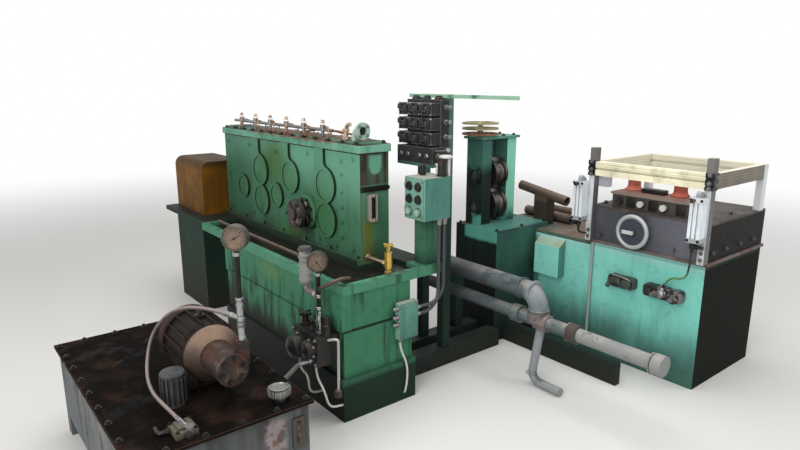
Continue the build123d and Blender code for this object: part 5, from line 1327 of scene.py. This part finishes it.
# %% Stand bolts, unions and welds
rows = grid((0.137, 0.253), (1.245, 1.338), 1.224, UP)
rows += circle((0.195, 1.06, 0.797), 0.047, 4, FRONT) + circle((0.195, 1.06, 0.993), 0.047, 4, FRONT)
rows += grid((0.128, 0.432), (1.018, 1.24, 1.452), 0.69, UP)
repeat("stand_bolts", rows, (15, 8, 2), dark_steel)
unions, welds = Shape(), Shape()
pipe_y, main_z = 0.77, 0.36
for x in (0.806, 1.157, 1.59):
    for shift in (-0.009, 0.041):
        unions.turned([(47.5, 0), (49.5, 1.5), (49.5, 5.5), (47.5, 7)], (x + shift, pipe_y, main_z), RIGHT, 8)
for x in (0.846, 0.922):
    unions.turned([(56, 0), (58, 2), (58, 8), (56, 10)], (x, pipe_y, 0.505), RIGHT, 32)
unions.turned([(44, 0), (46, 3), (46, 75), (44, 78)], (0.952, pipe_y, main_z), RIGHT, 8)
unions.done("pipe_unions", pipe, "pipe_paint")
for place, way, radius in (((0.985, pipe_y, 0.328), (-0.15, 0, -1), 0.027), ((0.934, pipe_y, 0.06), UP, 0.026),
                           ((0.96, pipe_y, 0.42), UP, 0.052)):
    bead = Vector(way).normalized()
    side = bead.orthogonal().normalized()
    ring_line = [Vector(place) + (side * math.cos(turn) + bead.cross(side) * math.sin(turn)) * radius
                 for turn in (math.tau * step / 28 for step in range(29))]
    welds.tube(ring_line, 0.0032, 8, 1)
welds.done("pipe_welds", pipe, "pipe_paint")

# %% [markdown]
# ## Floor and light
# A plain pale floor fades into a white surround, for the camera and in what metal and glass show, and the light of
# the surround on the mill stays lower. Three large soft lamps stand in front, on the far right and above, so that
# colours come out about as they are written.

# %% Floor and light
ground_mesh = bpy.data.meshes.new("floor")
ground_mesh.from_pydata([(-30, -30, 0), (30, -30, 0), (30, 30, 0), (-30, 30, 0)], [], [(0, 1, 2, 3)])
floor = bpy.data.objects.new("floor", ground_mesh)
collection.objects.link(floor)
pale_floor = Finish("pale_floor", (0.62, 0.61, 0.59))
pale_floor.done(0.8)
x, y = pale_floor.axes("XY")
far_off = ((x ** 2 + y ** 2) ** 0.5).above(2.6, 9.0)
seen_straight = pale_floor.node("ShaderNodeLightPath", output="Is Camera Ray")
for kind in ("Is Glossy Ray", "Is Transmission Ray"):
    seen_straight = seen_straight.top(pale_floor.node("ShaderNodeLightPath", output=kind))
glow = pale_floor.node("ShaderNodeEmission", inputs={"Color": (1, 1, 1, 1), "Strength": 1.0})
blend = pale_floor.node("ShaderNodeMixShader", inputs={0: far_off * seen_straight})
blended, links = blend.socket.node, pale_floor.tree.links
links.new(pale_floor.shader.outputs[0], blended.inputs[1])
links.new(glow.socket, blended.inputs[2])
links.new(blend.socket, pale_floor.tree.nodes["Material Output"].inputs["Surface"])
ground_mesh.materials.append(pale_floor.material)

world = bpy.data.worlds.new("surround")
bpy.context.scene.world = world
world.use_nodes = True
links, sky = world.node_tree.links, world.node_tree.nodes
path = sky.new("ShaderNodeLightPath")
shown = path.outputs["Is Camera Ray"]
for kind in ("Is Glossy Ray", "Is Transmission Ray"):
    either = sky.new("ShaderNodeMath")
    either.operation = "MAXIMUM"
    links.new(shown, either.inputs[0])
    links.new(path.outputs[kind], either.inputs[1])
    shown = either.outputs[0]
strength = sky.new("ShaderNodeMapRange")
strength.inputs["To Min"].default_value, strength.inputs["To Max"].default_value = 0.55, 1.0
links.new(shown, strength.inputs["Value"])
links.new(strength.outputs[0], sky["Background"].inputs["Strength"])
sky["Background"].inputs["Color"].default_value = (1, 1, 1, 1)


def soft_lamp(name, place, target, size, power, tint=(1, 1, 1)):
    """A large square lamp that looks at a point."""
    data = bpy.data.lights.new(name, "AREA")
    data.size, data.energy, data.color = size, power, tint
    lamp = bpy.data.objects.new(name, data)
    lamp.location = place
    lamp.rotation_euler = (Vector(target) - Vector(place)).to_track_quat("-Z", "Y").to_euler()
    collection.objects.link(lamp)


soft_lamp("window_side", (4.6, 3.6, 3.6), (0.6, 0.6, 0.6), 3.5, 80, (0.97, 0.99, 1))
soft_lamp("front_fill", (2.6, -4.2, 3.0), (0.9, 0.9, 0.7), 3.5, 215)
soft_lamp("overhead", (0.4, 0.4, 4.6), (0.4, 0.4, 0), 3.5, 120)
bpy.context.scene.view_settings.view_transform = "Standard"
